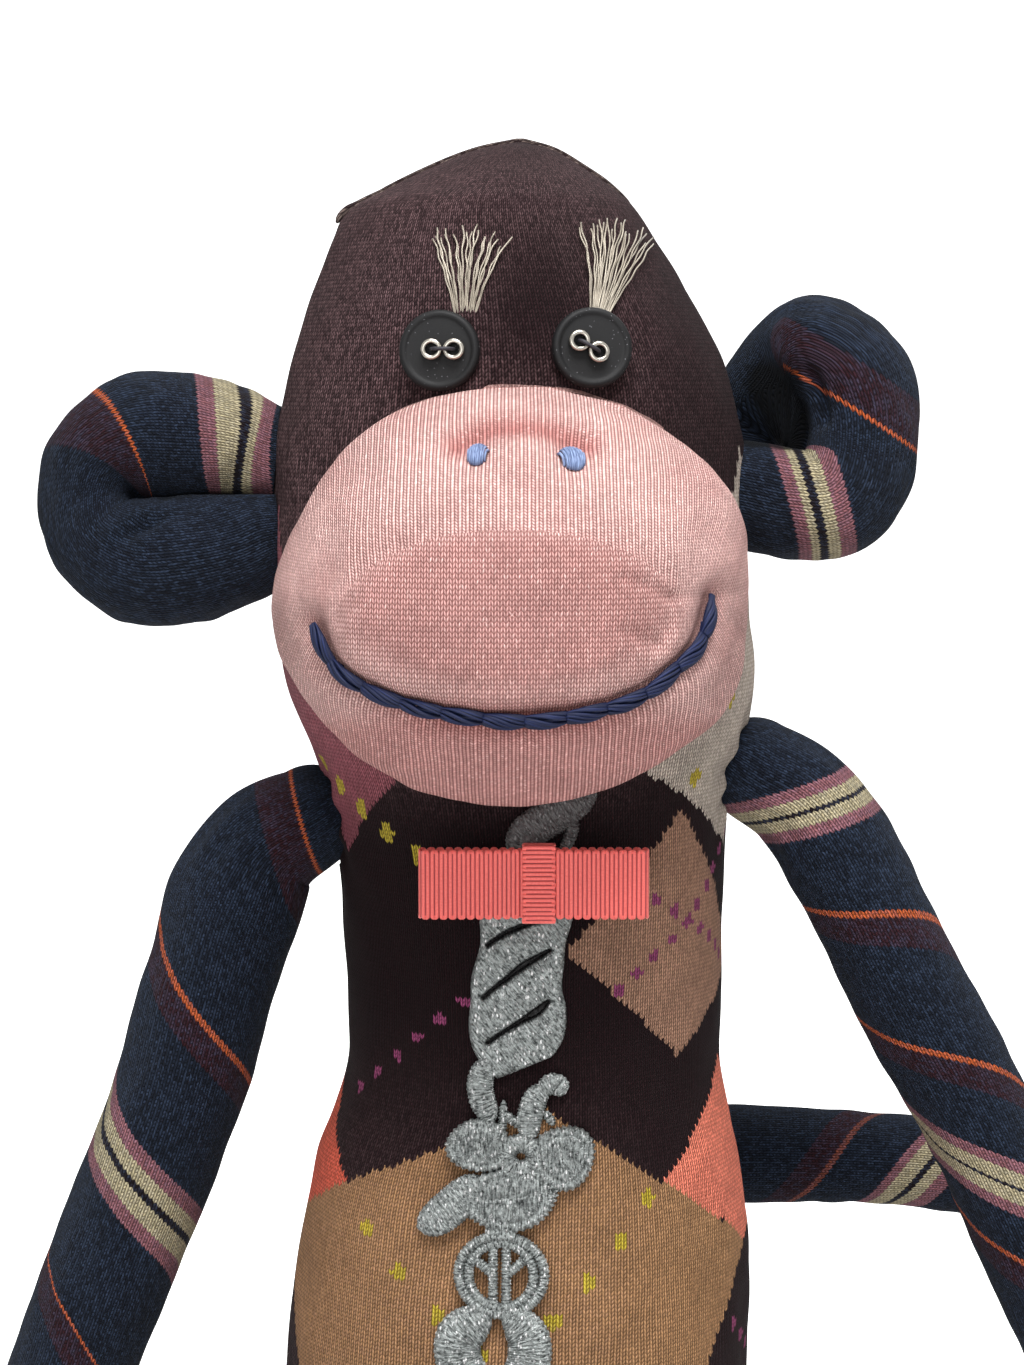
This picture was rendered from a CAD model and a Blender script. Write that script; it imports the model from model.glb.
# Seated knitted doll sewn from socks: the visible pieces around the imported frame, in metres.
import math
import bpy
import numpy as np
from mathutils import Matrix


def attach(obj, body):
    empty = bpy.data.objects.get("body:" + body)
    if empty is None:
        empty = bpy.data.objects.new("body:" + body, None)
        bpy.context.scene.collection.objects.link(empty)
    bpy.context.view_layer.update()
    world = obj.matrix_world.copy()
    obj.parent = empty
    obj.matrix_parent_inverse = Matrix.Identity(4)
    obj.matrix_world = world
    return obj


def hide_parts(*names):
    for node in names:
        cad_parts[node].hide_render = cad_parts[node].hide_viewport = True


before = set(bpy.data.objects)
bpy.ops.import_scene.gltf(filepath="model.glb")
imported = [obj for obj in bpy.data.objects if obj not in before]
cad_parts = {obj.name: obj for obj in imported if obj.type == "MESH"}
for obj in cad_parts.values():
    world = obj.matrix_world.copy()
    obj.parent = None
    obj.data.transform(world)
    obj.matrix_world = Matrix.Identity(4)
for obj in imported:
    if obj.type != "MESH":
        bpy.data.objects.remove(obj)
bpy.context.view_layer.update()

mm = 0.001
fullTurn = 2 * math.pi
gap = 0.3  # mm between pieces that touch


# Colour and node helpers

def linear(hexColour):
    values = np.array([int(hexColour[k:k + 2], 16) for k in (1, 3, 5)]) / 255
    toe = values / 12.92
    curve = ((values + 0.055) / 1.055) ** 2.4
    return (*(float(v) for v in np.where(values <= 0.04045, toe, curve)), 1.0)


# Adds one node with its settings. An input is a value, a socket, or a node, whose first output is meant.
def addNode(tree, kind, inputs=(), **settings):
    node = tree.nodes.new("ShaderNode" + kind)
    for name, value in settings.items():
        setattr(node, name, value)
    for key, value in dict(inputs).items():
        if isinstance(value, bpy.types.Node):
            value = value.outputs[0]
        if isinstance(value, bpy.types.NodeSocket):
            tree.links.new(value, node.inputs[key])
        else:
            node.inputs[key].default_value = value
    return node


def newTree(name):
    material = bpy.data.materials.new(name)
    material.use_nodes = True
    material.node_tree.nodes.clear()
    return material, material.node_tree


# The value that a piece's further map holds.
def layerValue(tree, name):
    layer = addNode(tree, "UVMap", uv_map=name)
    return addNode(tree, "SeparateXYZ", {0: layer}).outputs["X"]


# The piece's own place in mm, for patterns that don't follow its cloth.
def placeInMm(tree):
    place = addNode(tree, "TexCoord").outputs["Object"]
    return addNode(tree, "VectorMath", {0: place, "Scale": 1 / mm}, operation="SCALE")


# The end of a material's tree: its shader and the output.
def finishTree(tree, inputs):
    shader = addNode(tree, "BsdfPrincipled", inputs)
    addNode(tree, "OutputMaterial", {"Surface": shader})


# Shape helpers

def anglesRound(count, start=0.0):
    return np.linspace(start, start + fullTurn, count, endpoint=False)


# Shares across and up of an angle in degrees.
def directionAt(degrees):
    return math.cos(math.radians(degrees)), math.sin(math.radians(degrees))


def bell(distance, reach):
    return np.exp(-(distance / reach) ** 2)


def smoothStep(values, low, high):
    t = np.clip((values - low) / (high - low), 0, 1)
    return t * t * (3 - 2 * t)


# A piece's map from places along its rows and places of its rows.
def gridMap(columns, rows):
    return np.stack(np.meshgrid(columns, rows), -1)


# The length run along a line at each of its points.
def runAlong(line):
    return np.concatenate([[0], np.cumsum(np.linalg.norm(np.diff(line, axis=0), axis=1))])


# Catmull-Rom curve through the points, at even steps of its length.
def curveThrough(points, count, closed=False):
    p = np.asarray(points, float)
    if closed:
        ends = np.vstack([p[-1:], p, p[:2]])
    else:
        ends = np.vstack([2 * p[:1] - p[1:2], p, 2 * p[-1:] - p[-2:-1]])
    spans = len(ends) - 3
    t = np.linspace(0, spans, spans * 40 + 1)
    i = np.minimum(t.astype(int), spans - 1)
    s = (t - i)[:, None]
    a, b, c, d = (ends[i + k] for k in range(4))
    fine = 2 * b + (c - a) * s + (2 * a - 5 * b + 4 * c - d) * s ** 2 + (3 * b - a - 3 * c + d) * s ** 3
    length = runAlong(fine / 2)
    steps = count + 1 if closed else count
    even = np.linspace(0, length[-1], steps)[:count]
    return np.column_stack([np.interp(even, length, fine[:, k] / 2) for k in range(fine.shape[1])])


def unit(vectors):
    return vectors / np.maximum(np.linalg.norm(vectors, axis=-1, keepdims=True), 1e-12)


# Directions across and up on a face with this normal, turned in degrees clockwise as seen from in front.
def axesOn(normal, turn=0.0):
    upward = unit(np.array([0, 0, 1]) - normal[2] * normal)
    across = np.cross(normal, upward)
    cosine, sine = directionAt(turn)
    return across * cosine - upward * sine, upward * cosine + across * sine


def tangentOf(line, closed=False):
    if closed:
        return unit(np.roll(line, -1, axis=0) - np.roll(line, 1, axis=0))
    return unit(np.gradient(line, axis=0))


# Sections carried along a line: middle + out * deep * cos(angle) + side * wide * sin(angle). The direction
# out is the one nearest to the reference.
def sweep(line, wide, deep, reference, sides, closed=False):
    tangent = tangentOf(line, closed)
    reference = np.broadcast_to(np.asarray(reference, float), line.shape)
    out = unit(reference - np.sum(reference * tangent, axis=1, keepdims=True) * tangent)
    side = np.cross(tangent, out)
    angle = anglesRound(sides) - math.pi
    if np.ndim(wide) < 2:
        wide = np.broadcast_to(wide, (sides, len(line))).T
    if np.ndim(deep) < 2:
        deep = np.broadcast_to(deep, (sides, len(line))).T
    return (line[:, None] + out[:, None] * (np.cos(angle) * deep)[..., None]
            + side[:, None] * (np.sin(angle) * wide)[..., None])


# A closed skin over a grid of points in mm: columns go round, ends close in a pole, or rows go round too.
def skin(name, points, uv=None, material=None, rowsClose=False):
    rows, sides = points.shape[:2]
    index = np.arange(rows * sides).reshape(rows, sides)
    if rowsClose:
        here, above = index, np.roll(index, -1, axis=0)
    else:
        here, above = index[:-1], index[1:]
    quads = np.stack([here, np.roll(here, -1, axis=1), np.roll(above, -1, axis=1), above], -1).reshape(-1, 4)
    vertices = points.reshape(-1, 3)
    corners = [quads.ravel()]
    sizes = [np.full(len(quads), 4)]
    if uv is None:
        uv = gridMap(np.arange(sides + 1.0), np.arange(rows + 1.0))
    lower, upper = uv[:len(here)], uv[1:len(here) + 1]
    quadUv = np.stack([lower[:, :-1], lower[:, 1:], upper[:, 1:], upper[:, :-1]], 2)
    places = [quadUv.reshape(-1, 2)]
    if not rowsClose:
        for row, pole, order in ((0, rows * sides, (1, 0)), (rows - 1, rows * sides + 1, (0, 1))):
            pair = (index[row], np.roll(index[row], -1))
            fan = np.stack([pair[order[0]], pair[order[1]], np.full(sides, pole)], -1)
            pairUv = (uv[row, :-1], uv[row, 1:])
            fanUv = np.stack([pairUv[order[0]], pairUv[order[1]], (uv[row, :-1] + uv[row, 1:]) / 2], 1)
            corners.append(fan.ravel())
            sizes.append(np.full(sides, 3))
            places.append(fanUv.reshape(-1, 2))
        vertices = np.vstack([vertices, points[0].mean(0), points[-1].mean(0)])
    corners = np.concatenate(corners)
    places = np.concatenate(places)
    sizes = np.concatenate(sizes)
    a, b, c, d = (vertices[quads[:, k]] for k in range(4))
    volume = np.sum(a * np.cross(b, c)) + np.sum(a * np.cross(c, d))
    starts = np.concatenate([[0], np.cumsum(sizes)[:-1]])
    if volume < 0:  # turn every face round, so that faces point outwards
        ends = np.repeat(starts + sizes - 1, sizes)
        own = np.arange(len(corners)) - np.repeat(starts, sizes)
        corners = corners[ends - own]
        places = places[ends - own]
    mesh = bpy.data.meshes.new(name)
    mesh.vertices.add(len(vertices))
    mesh.vertices.foreach_set("co", (vertices * mm).ravel())
    mesh.loops.add(len(corners))
    mesh.loops.foreach_set("vertex_index", corners.astype(np.int32))
    mesh.polygons.add(len(sizes))
    mesh.polygons.foreach_set("loop_start", starts.astype(np.int32))
    mesh.update(calc_edges=True)
    layer = mesh.uv_layers.new(name="cloth")
    layer.data.foreach_set("uv", places.ravel())
    mesh.shade_smooth()
    mesh.validate()
    piece = bpy.data.objects.new(name, mesh)
    bpy.context.scene.collection.objects.link(piece)
    if material:
        mesh.materials.append(material)
    return piece


# A further map on the mesh that holds one value for each vertex.
def addLayer(mesh, name, values):
    corners = np.zeros(len(mesh.loops), np.int32)
    mesh.loops.foreach_get("vertex_index", corners)
    spread = values[corners]
    mesh.uv_layers.new(name=name).data.foreach_set("uv", np.stack([spread, 0 * spread], -1).ravel())


def joinPieces(name, pieces):
    with bpy.context.temp_override(active_object=pieces[0], selected_editable_objects=pieces):
        bpy.ops.object.join()
    pieces[0].name = name
    pieces[0].data.name = name
    return pieces[0]


# Soft unevenness of a stuffed piece: a sum of sine waves in seeded directions, about -1 to 1.
def lumps(points, wavelength, seed):
    waves = 7
    random = np.random.default_rng(seed)
    directions = unit(random.normal(size=(waves, 3)))
    lengths = wavelength * random.uniform(0.7, 1.5, waves)
    phases = random.uniform(0, fullTurn, waves)
    total = np.zeros(points.shape[:-1])
    for k in range(waves):
        total += np.sin(points @ directions[k] * fullTurn / lengths[k] + phases[k])
    return total / math.sqrt(waves * 2)


def near(points, centre, reach):
    return bell(np.linalg.norm(points - np.asarray(centre, float), axis=-1), reach)


# How far out a place lies from an oval's middle, where 1 is on the oval.
def fromOval(flat, middle, half):
    return np.linalg.norm((flat - middle) / half, axis=-1)


# Distance from points to a fine line of points, by blocks.
def distanceTo(points, line):
    flat = points.reshape(-1, points.shape[-1])
    best = np.full(len(flat), 1e9)
    for start in range(0, len(line), 8):
        block = line[start:start + 8]
        best = np.minimum(best, np.linalg.norm(flat[:, None] - block[None], axis=2).min(1))
    return best.reshape(points.shape[:-1])


def finishPiece(piece, body, nodes):
    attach(piece, body)
    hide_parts(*nodes)


# Camera: 0.7 m in front, at the doll's brow, looking 6 degrees down
print("stage: camera")
cameraView = {"place": (-2, -716, 299), "pitch": -6, "sensorHeight": 24, "focalShare": 2880 / 1365}
cameraData = bpy.data.cameras.new("camera")
camera = bpy.data.objects.new("camera", cameraData)
bpy.context.scene.collection.objects.link(camera)
camera.location = [value * mm for value in cameraView["place"]]
camera.rotation_euler = (math.radians(90 + cameraView["pitch"]), 0, 0)
cameraData.sensor_fit = "VERTICAL"
cameraData.sensor_height = cameraView["sensorHeight"]
cameraData.lens = cameraView["sensorHeight"] * cameraView["focalShare"]
bpy.context.scene.camera = camera


# Sock knit: stockinette V stitches worked out from the cloth's own places in mm

# Height of the V stitches from 0 in the gaps to 1 on the yarn, with the number of the stitch's leg.
# Each column of stitches is a rib of two round legs: the left one runs on smoothly, unless beaded is 1, and
# the right one is beaded.
def stitchRelief(tree, place, wale, course, lean=-0.7, beaded=0.0):
    counted = addNode(tree, "VectorMath", {0: place, 1: (wale, course, 1)}, operation="DIVIDE")
    parts = addNode(tree, "SeparateXYZ", {0: counted})
    across = addNode(tree, "Math", {0: parts.outputs["X"]}, operation="FRACT")
    centred = addNode(tree, "Math", {0: across, 1: 2.0, 2: -1.0}, operation="MULTIPLY_ADD")
    fromMiddle = addNode(tree, "Math", {0: centred}, operation="ABSOLUTE")
    turn = addNode(tree, "Math", {0: fromMiddle, 1: math.pi}, operation="MULTIPLY")
    leg = addNode(tree, "Math", {0: turn}, operation="SINE")
    slanted = addNode(tree, "Math", {0: fromMiddle, 1: lean, 2: parts.outputs["Y"]}, operation="MULTIPLY_ADD")
    row = addNode(tree, "Math", {0: slanted, 1: 0.5}, operation="PINGPONG")
    smooth = addNode(tree, "MapRange", {"Value": beaded, "To Min": 0.55, "To Max": 0.15})
    groove = addNode(tree, "MapRange", {"Value": centred, "From Min": -0.1, "From Max": 0.1,
                                        "To Min": smooth, "To Max": 0.2})
    yarn = addNode(tree, "MapRange", {"Value": row, "From Max": 0.32, "To Min": groove, "To Max": 1.0})
    height = addNode(tree, "Math", {0: leg, 1: yarn}, operation="MULTIPLY")
    wholeX = addNode(tree, "Math", {0: parts.outputs["X"]}, operation="FLOOR")
    wholeY = addNode(tree, "Math", {0: slanted}, operation="FLOOR")
    side = addNode(tree, "Math", {0: centred, 1: 0.0}, operation="GREATER_THAN")
    cell = addNode(tree, "CombineXYZ", {0: wholeX, 1: wholeY, 2: side})
    return height.outputs[0], cell


# The middle of a place's own stitch cell, in mm, so that colours change only from stitch to stitch.
def stitchPlace(tree, place, wale, course):
    cell = stitchRelief(tree, place, wale, course)[1]
    middle = addNode(tree, "VectorMath", {0: cell, 1: (0.5, 0.5, 0)}, operation="ADD")
    return addNode(tree, "VectorMath", {0: middle, 1: (wale, course, 0)}, operation="MULTIPLY")


# Knit shading: the colour darkens into the gaps between stitches, and some of their legs carry a pale fleck.
def knitShader(tree, colour, place, knit, beaded=0.0):
    height, cell = stitchRelief(tree, place, knit["wale"], knit["course"], knit["lean"], beaded)
    ownTone = addNode(tree, "TexWhiteNoise", {"Vector": cell})
    ownParts = addNode(tree, "SeparateXYZ", {0: ownTone.outputs["Color"]})
    fuzz = addNode(tree, "TexNoise", {"Vector": place, "Scale": 1.1, "Detail": 4.0, "Roughness": 0.75,
                                      "Distortion": 0.6})
    cloud = addNode(tree, "TexNoise", {"Vector": place, "Scale": 0.06, "Detail": 2.0})
    gaps = addNode(tree, "Mix", {0: height, 6: (*knit["gapTint"], 1), 7: (1, 1, 1, 1)}, data_type="RGBA")
    single = addNode(tree, "MapRange", {"Value": ownParts.outputs["X"], "To Min": 1 - knit["stitchTone"],
                                        "To Max": 1 + knit["stitchTone"]})
    broad = addNode(tree, "MapRange", {"Value": cloud, "From Min": 0.3, "From Max": 0.7,
                                       "To Min": 0.9, "To Max": 1.08})
    side = addNode(tree, "SeparateXYZ", {0: cell}).outputs["Z"]
    leg = addNode(tree, "MapRange", {"Value": side, "To Min": 1 + knit["legTone"],
                                     "To Max": 1 - knit["legTone"]})
    tone = addNode(tree, "Math", {0: leg, 1: single}, operation="MULTIPLY")
    tone = addNode(tree, "Math", {0: tone, 1: broad}, operation="MULTIPLY")
    plain = addNode(tree, "VectorMath", {0: colour, "Scale": tone}, operation="SCALE")
    toned = addNode(tree, "VectorMath", {0: plain, 1: gaps.outputs[2]}, operation="MULTIPLY")
    picked = addNode(tree, "MapRange", {"Value": ownParts.outputs["Y"], "From Min": 1 - knit["flecks"]})
    fluff = addNode(tree, "MapRange", {"Value": fuzz, "From Min": 0.36, "From Max": 0.62,
                                       "To Min": knit["even"]})
    raised = addNode(tree, "Math", {0: picked, 1: height}, operation="MULTIPLY")
    fleck = addNode(tree, "Math", {0: raised, 1: fluff}, operation="MULTIPLY")
    if knit["fleckLayer"]:  # the piece's map that holds the flecks' share
        share = layerValue(tree, knit["fleckLayer"])
        fleck = addNode(tree, "Math", {0: fleck, 1: share}, operation="MULTIPLY")
    fleckTone = linear(knit["fleckColour"])[:3]
    flecks = addNode(tree, "VectorMath", {0: fleckTone, "Scale": fleck}, operation="SCALE")
    flecked = addNode(tree, "VectorMath", {0: toned, 1: flecks}, operation="ADD")
    rough = addNode(tree, "MapRange", {"Value": fuzz, "To Min": 0.8, "To Max": 1.0})
    bump = addNode(tree, "Bump", {"Height": height, "Strength": knit["relief"], "Distance": 0.4 * mm})
    finishTree(tree, {"Base Color": flecked, "Roughness": rough, "Normal": bump, "Specular IOR Level": 0.12,
                      "Sheen Weight": knit["sheen"], "Sheen Roughness": 0.45,
                      "Sheen Tint": linear(knit["sheenColour"])})


# Body sock: fine-gauge cotton in dark plum heather, with argyle patches and overlaid dotted lines below the
# face. The eye sees matt cloth with fine upright ribs, pale flecks and stepped patch edges.
bodyCloth = {
    "wale": 1.6, "course": 1.0, "lean": -0.7,  # a stitch's width and height in mm, and its slant
    "gapTint": (0.19, 0.18, 0.18), "stitchTone": 0.2, "legTone": 0.0, "relief": 0.9,
    "flecks": 1.2, "even": 0.35, "fleckLayer": "heather", "fleckColour": "#7d6264",
    "sheen": 0.015, "sheenColour": "#c8b4b4", "base": "#1a080c",
    "patchStep": 1.2,  # stitches per step of a patch's edge
    "figureSize": 1.45, "ragged": 0.9, "lineEnd": 3.5,  # reach and raggedness of a figure, and a line's end
    # corners as degrees round from the front and height in mm, going round
    "patches": [
        ("#9c5862", [(-120, 226), (-74, 268), (-33, 206), (-66, 184)]),
        ("#d0c3b5", [(30, 207), (72, 282), (130, 232), (82, 182)]),
        ("#ae866f", [(9, 162.6), (45.5, 196.1), (88, 156), (47.2, 135)]),
        ("#ff9076", [(37.7, 104.7), (76, 131), (130, 108), (75, 84.5)]),
        ("#f06c52", [(-54.4, 102.2), (-88, 126), (-130, 108), (-89, 89.5)]),
        ("#b38860", [(2.3, 125.1), (75, 84), (5, 3), (-28, 3), (-97, 86.4)]),
    ],
    # start and end of a row of figures, their number, half width, half height and colour
    "lines": [
        ((-83, 210), (-33.5, 185.6), 6, 2.4, 2.2, "#c9b541"),
        ((60, 222), (50.2, 203.6), 2, 1.9, 2.3, "#c9b541"),
        ((-43.8, 93.4), (-10, 66), 4, 1.9, 2.3, "#cdb63a"),
        ((32.6, 101.4), (-1.4, 64.6), 5, 1.9, 2.3, "#cdb63a"),
        ((-21.4, 150.3), (-62.8, 124.9), 6, 2.0, 1.5, "#9a4872"),
        ((66.9, 64.6), (104, 44), 6, 2.0, 1.5, "#9a4872"),
        ((36.5, 174), (84, 154), 8, 1.9, 1.5, "#94466f"),
        ((25.6, 152.7), (78, 187), 10, 1.9, 1.5, "#94466f"),
    ],
}

bodyRings = [  # height, sideways shift, half width, half depth
    (0.2, 0, 30, 24), (6, 0, 48, 38), (22, 0, 57, 45.5), (50, 0, 58.5, 48), (80, 1, 57, 46),
    (104, 2, 53.5, 43), (126, 3.5, 47.5, 40), (150, 3.5, 47.2, 39.5), (176, 3.5, 48.6, 41),
    (200, 2, 51.5, 44), (222, 0, 58, 48), (250, -2.4, 58.4, 51), (280, -2.7, 57.8, 51), (302, -3, 53.6, 49),
    (322, -5, 45.2, 43), (339, -6.5, 36, 35), (345, -4.8, 28.6, 28), (351, -3, 18, 18),
    (354.8, -1.3, 9.6, 10.5), (356.9, 0, 1, 1),
]
bodyFine = curveThrough(bodyRings, 400)
bodyRun = runAlong(bodyFine[:, [0, 3]])


def bodySection(height):
    return [np.interp(height, bodyFine[:, 0], bodyFine[:, k]) for k in (1, 2, 3)]


# How far in front of the middle the body's skin lies.
def bodyDepth(x, height):
    shift, halfWidth, halfDepth = bodySection(height)
    return halfDepth * np.sqrt(np.clip(1 - ((x - shift) / halfWidth) ** 2, 0, 1))


# Place and outward normal on the front whose depth a function gives, lifted off it.
def onFront(depthAt, x, height, lift=0.0):
    x, height = np.asarray(x, float), np.asarray(height, float)
    step = 0.2
    slopeX = (depthAt(x + step, height) - depthAt(x - step, height)) / (2 * step)
    slopeZ = (depthAt(x, height + step) - depthAt(x, height - step)) / (2 * step)
    normal = unit(np.stack([-slopeX, -np.ones_like(slopeX), -slopeZ], -1))
    place = np.stack([x, -depthAt(x, height), height], -1)
    return place + normal * np.asarray(lift)[..., None], normal


def runAt(height):
    return float(np.interp(height, bodyFine[:, 0], bodyRun))


# toRun gives the cloth's run in mm for a height in the cloth's tables.
def argyleKnit(name, cloth, toRun=runAt):
    material, tree = newTree(name)
    place = addNode(tree, "UVMap", uv_map="cloth")
    step = cloth["patchStep"]
    stitch = stitchPlace(tree, place, cloth["wale"] * step, cloth["course"] * step)
    flat = addNode(tree, "VectorMath", {0: stitch, 1: (0, 0, 1)}, operation="ADD")
    colour = addNode(tree, "RGB")
    colour.outputs[0].default_value = linear(cloth["base"])
    colour = colour.outputs[0]
    for patchColour, corners in cloth["patches"]:
        edges = []
        ring = [(angle, toRun(height)) for angle, height in corners]
        middle = np.mean(ring, axis=0)
        for (x0, y0), (x1, y1) in zip(ring, ring[1:] + ring[:1]):
            normal = np.array([y1 - y0, x0 - x1]) / math.hypot(x1 - x0, y1 - y0)
            offset = -normal @ (x0, y0)
            if normal @ middle + offset < 0:
                normal, offset = -normal, -offset
            side = (*normal, offset)
            edge = addNode(tree, "VectorMath", {0: flat, 1: side}, operation="DOT_PRODUCT")
            edges.append(edge.outputs["Value"])
        inside = edges[0]
        for edge in edges[1:]:
            inside = addNode(tree, "Math", {0: inside, 1: edge}, operation="MINIMUM")
        mask = addNode(tree, "Math", {0: inside, 1: 0.0}, operation="GREATER_THAN")
        mixed = addNode(tree, "Mix", {0: mask, 6: colour, 7: linear(patchColour)}, data_type="RGBA")
        colour = mixed.outputs[2]
    fine = stitchPlace(tree, place, cloth["wale"], cloth["course"])
    ragged = addNode(tree, "TexNoise", {"Vector": fine, "Scale": 0.9, "Detail": 1.0})
    for start, end, count, halfWidth, halfHeight, lineColour in cloth["lines"]:
        a = np.array([start[0], toRun(start[1])])
        b = np.array([end[0], toRun(end[1])])
        length = float(np.linalg.norm(b - a))
        pitch = length / (count - 1)
        along = (b - a) / length
        first, onward = (*a, 0), (*along, 0)
        fromStart = addNode(tree, "VectorMath", {0: fine, 1: first}, operation="SUBTRACT")
        run = addNode(tree, "VectorMath", {0: fromStart, 1: onward}, operation="DOT_PRODUCT").outputs["Value"]
        later = addNode(tree, "Math", {0: run, 1: pitch / 2}, operation="ADD")
        whole = addNode(tree, "Math", {0: later, 1: pitch}, operation="SNAP")
        middle = addNode(tree, "VectorMath", {0: onward, "Scale": whole}, operation="SCALE")
        offset = addNode(tree, "VectorMath", {0: fromStart, 1: middle}, operation="SUBTRACT")
        shape = addNode(tree, "VectorMath", {0: offset, 1: (halfWidth, halfHeight, 1)}, operation="DIVIDE")
        size = addNode(tree, "VectorMath", {0: shape}, operation="LENGTH").outputs["Value"]
        rough = addNode(tree, "Math", {0: ragged, 1: cloth["ragged"], 2: size}, operation="MULTIPLY_ADD")
        isDot = addNode(tree, "Math", {0: rough, 1: cloth["figureSize"]}, operation="LESS_THAN")
        fromMiddle = addNode(tree, "Math", {0: run, 1: length / 2}, operation="SUBTRACT")
        span = addNode(tree, "Math", {0: fromMiddle}, operation="ABSOLUTE")
        isOnLine = addNode(tree, "Math", {0: span, 1: length / 2 + cloth["lineEnd"]}, operation="LESS_THAN")
        mask = addNode(tree, "Math", {0: isDot, 1: isOnLine}, operation="MULTIPLY")
        mixed = addNode(tree, "Mix", {0: mask, 6: colour, 7: linear(lineColour)}, data_type="RGBA")
        colour = mixed.outputs[2]
    knitShader(tree, colour, place, cloth)
    return material


# Moves the points inside a ball straight inwards to its far side, as a limb's root dents the body.
def pressedBy(points, middle, radius, inward):
    offset = points - middle
    along = offset @ inward
    rest = offset - along[..., None] * inward
    reach = np.sqrt(np.clip(radius ** 2 - np.sum(rest ** 2, -1), 0, None))
    isInside = (reach > 0) & (along < reach) & (along > -2.5 * radius)
    return np.where(isInside[..., None], middle + rest + reach[..., None] * inward, points)


def legSizes(side):
    return {"pivot": (30 * side, -44.629, 21.8), "root": 20, "radius": 21.5, "taper": 40, "tip": 0.92,
            "line": [(0, 0, 0), (12.8 * side, -60.3, 0), (25.6 * side, -120.6, 0), (38.5 * side, -181.2, 0)]}


# Sizes of the limbs as in the solids, in mm
limbs = {
    "right_arm": {"pivot": (-52.173, 0, 190), "root": 13, "radius": 17.3, "taper": 35, "tip": 0.9,
                  "line": [(0, 0, 0), (-12, 0, -7.5), (-19.5, 0, -21.5), (-25.5, 0, -40), (-36, 0, -75),
                           (-54, 0, -121), (-73, 0, -172)]},
    "left_arm": {"pivot": (58.801, 0, 202), "root": 13, "radius": 15.2, "taper": 35, "tip": 0.9,
                 "line": [(0, 0, 0), (12, 0, -8), (23, 0, -24.5), (40, 0, -58), (56, 0, -87.5), (76, 0, -130),
                          (99, 0, -184)]},
    "right_leg": legSizes(-1),
    "left_leg": legSizes(1),
    "tail": {"pivot": (8, 50.251, 84), "root": 11, "radius": 14, "taper": 30, "tip": 0.88,
             "line": [(0, 0, 0), (2, 14, 0), (14, 25, -1), (38, 30, -2.5), (75, 30, -3), (112, 26, -4.5),
                      (140, 20, -10)]},
}
bodyGauge = {"rows": 300, "sides": 280, "lumps": 0.9, "fineLumps": 0.35, "pleats": 9, "pleatDepth": 0.7,
             "seamCorner": (-43.5, 0, 338.5)}


def buildBody():
    rows, sides = bodyGauge["rows"], bodyGauge["sides"]
    run = np.linspace(0, bodyRun[-1], rows)
    height = np.interp(run, bodyRun, bodyFine[:, 0])
    shift, halfWidth, halfDepth = (np.interp(run, bodyRun, bodyFine[:, k]) for k in (1, 2, 3))
    angle = anglesRound(sides, -math.pi)
    x = shift[:, None] + halfWidth[:, None] * np.sin(angle)
    y = -halfDepth[:, None] * np.cos(angle)
    points = np.stack([x, y, np.broadcast_to(height[:, None], x.shape)], -1)
    outward = unit(points - np.stack([shift, 0 * shift, height], -1)[:, None])
    swell = bodyGauge["lumps"] * lumps(points, 46, 3) + bodyGauge["fineLumps"] * lumps(points, 15, 5)
    swell *= (smoothStep(height, 8, 30) * (1 - 0.7 * smoothStep(height, 325, 350)))[:, None]
    swell += 0.9 * near(points, bodyGauge["seamCorner"], 4)
    for name in ("right_arm", "left_arm"):  # gathered pleats run from the arm's seam into the body
        offset = points - limbs[name]["pivot"]
        around = np.arctan2(offset[..., 2], offset[..., 1])
        ring = bell(np.linalg.norm(offset, axis=-1) - limbs[name]["root"], 9)
        swell += ring * (bodyGauge["pleatDepth"] * np.cos(bodyGauge["pleats"] * around + 1) - 0.8)
    points = points + outward * swell[..., None]
    points[..., 2] = np.maximum(points[..., 2], 0.05)
    for name, limb in limbs.items():
        pivot = np.array(limb["pivot"], float)
        axis = 0 if "arm" in name else 1
        inward = -np.sign(pivot[axis]) * np.eye(3)[axis]
        points = pressedBy(points, pivot, limb["root"] + 2 * gap, inward)
    uv = gridMap(np.linspace(-180, 180, sides + 1), run)
    piece = skin("body_cloth", points, uv, argyleKnit("cottonArgyleKnit", bodyCloth))
    # the flecks are strongest on the head, but weaker between the brows and on the doll's left
    x, y, z = np.moveaxis(points, -1, 0)
    isFront = 1 - smoothStep(y, 0, 25)
    heather = smoothStep(z, 186, 226) + 0.4 * (1 - smoothStep(z, 95, 150))
    heather *= 1 - 0.92 * isFront * bell(x - 4, 17) * bell(z - 316, 22)
    heather *= 1 - 0.8 * isFront * smoothStep(x, 12, 40)
    heather = 0.8 + (heather - 0.8) * isFront
    addLayer(piece.data, "heather", np.append(heather.ravel(), [0.4, 1]))
    finishPiece(piece, "root", ["body_sock", "body_stuffing"])


print("stage: body")
buildBody()


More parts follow.
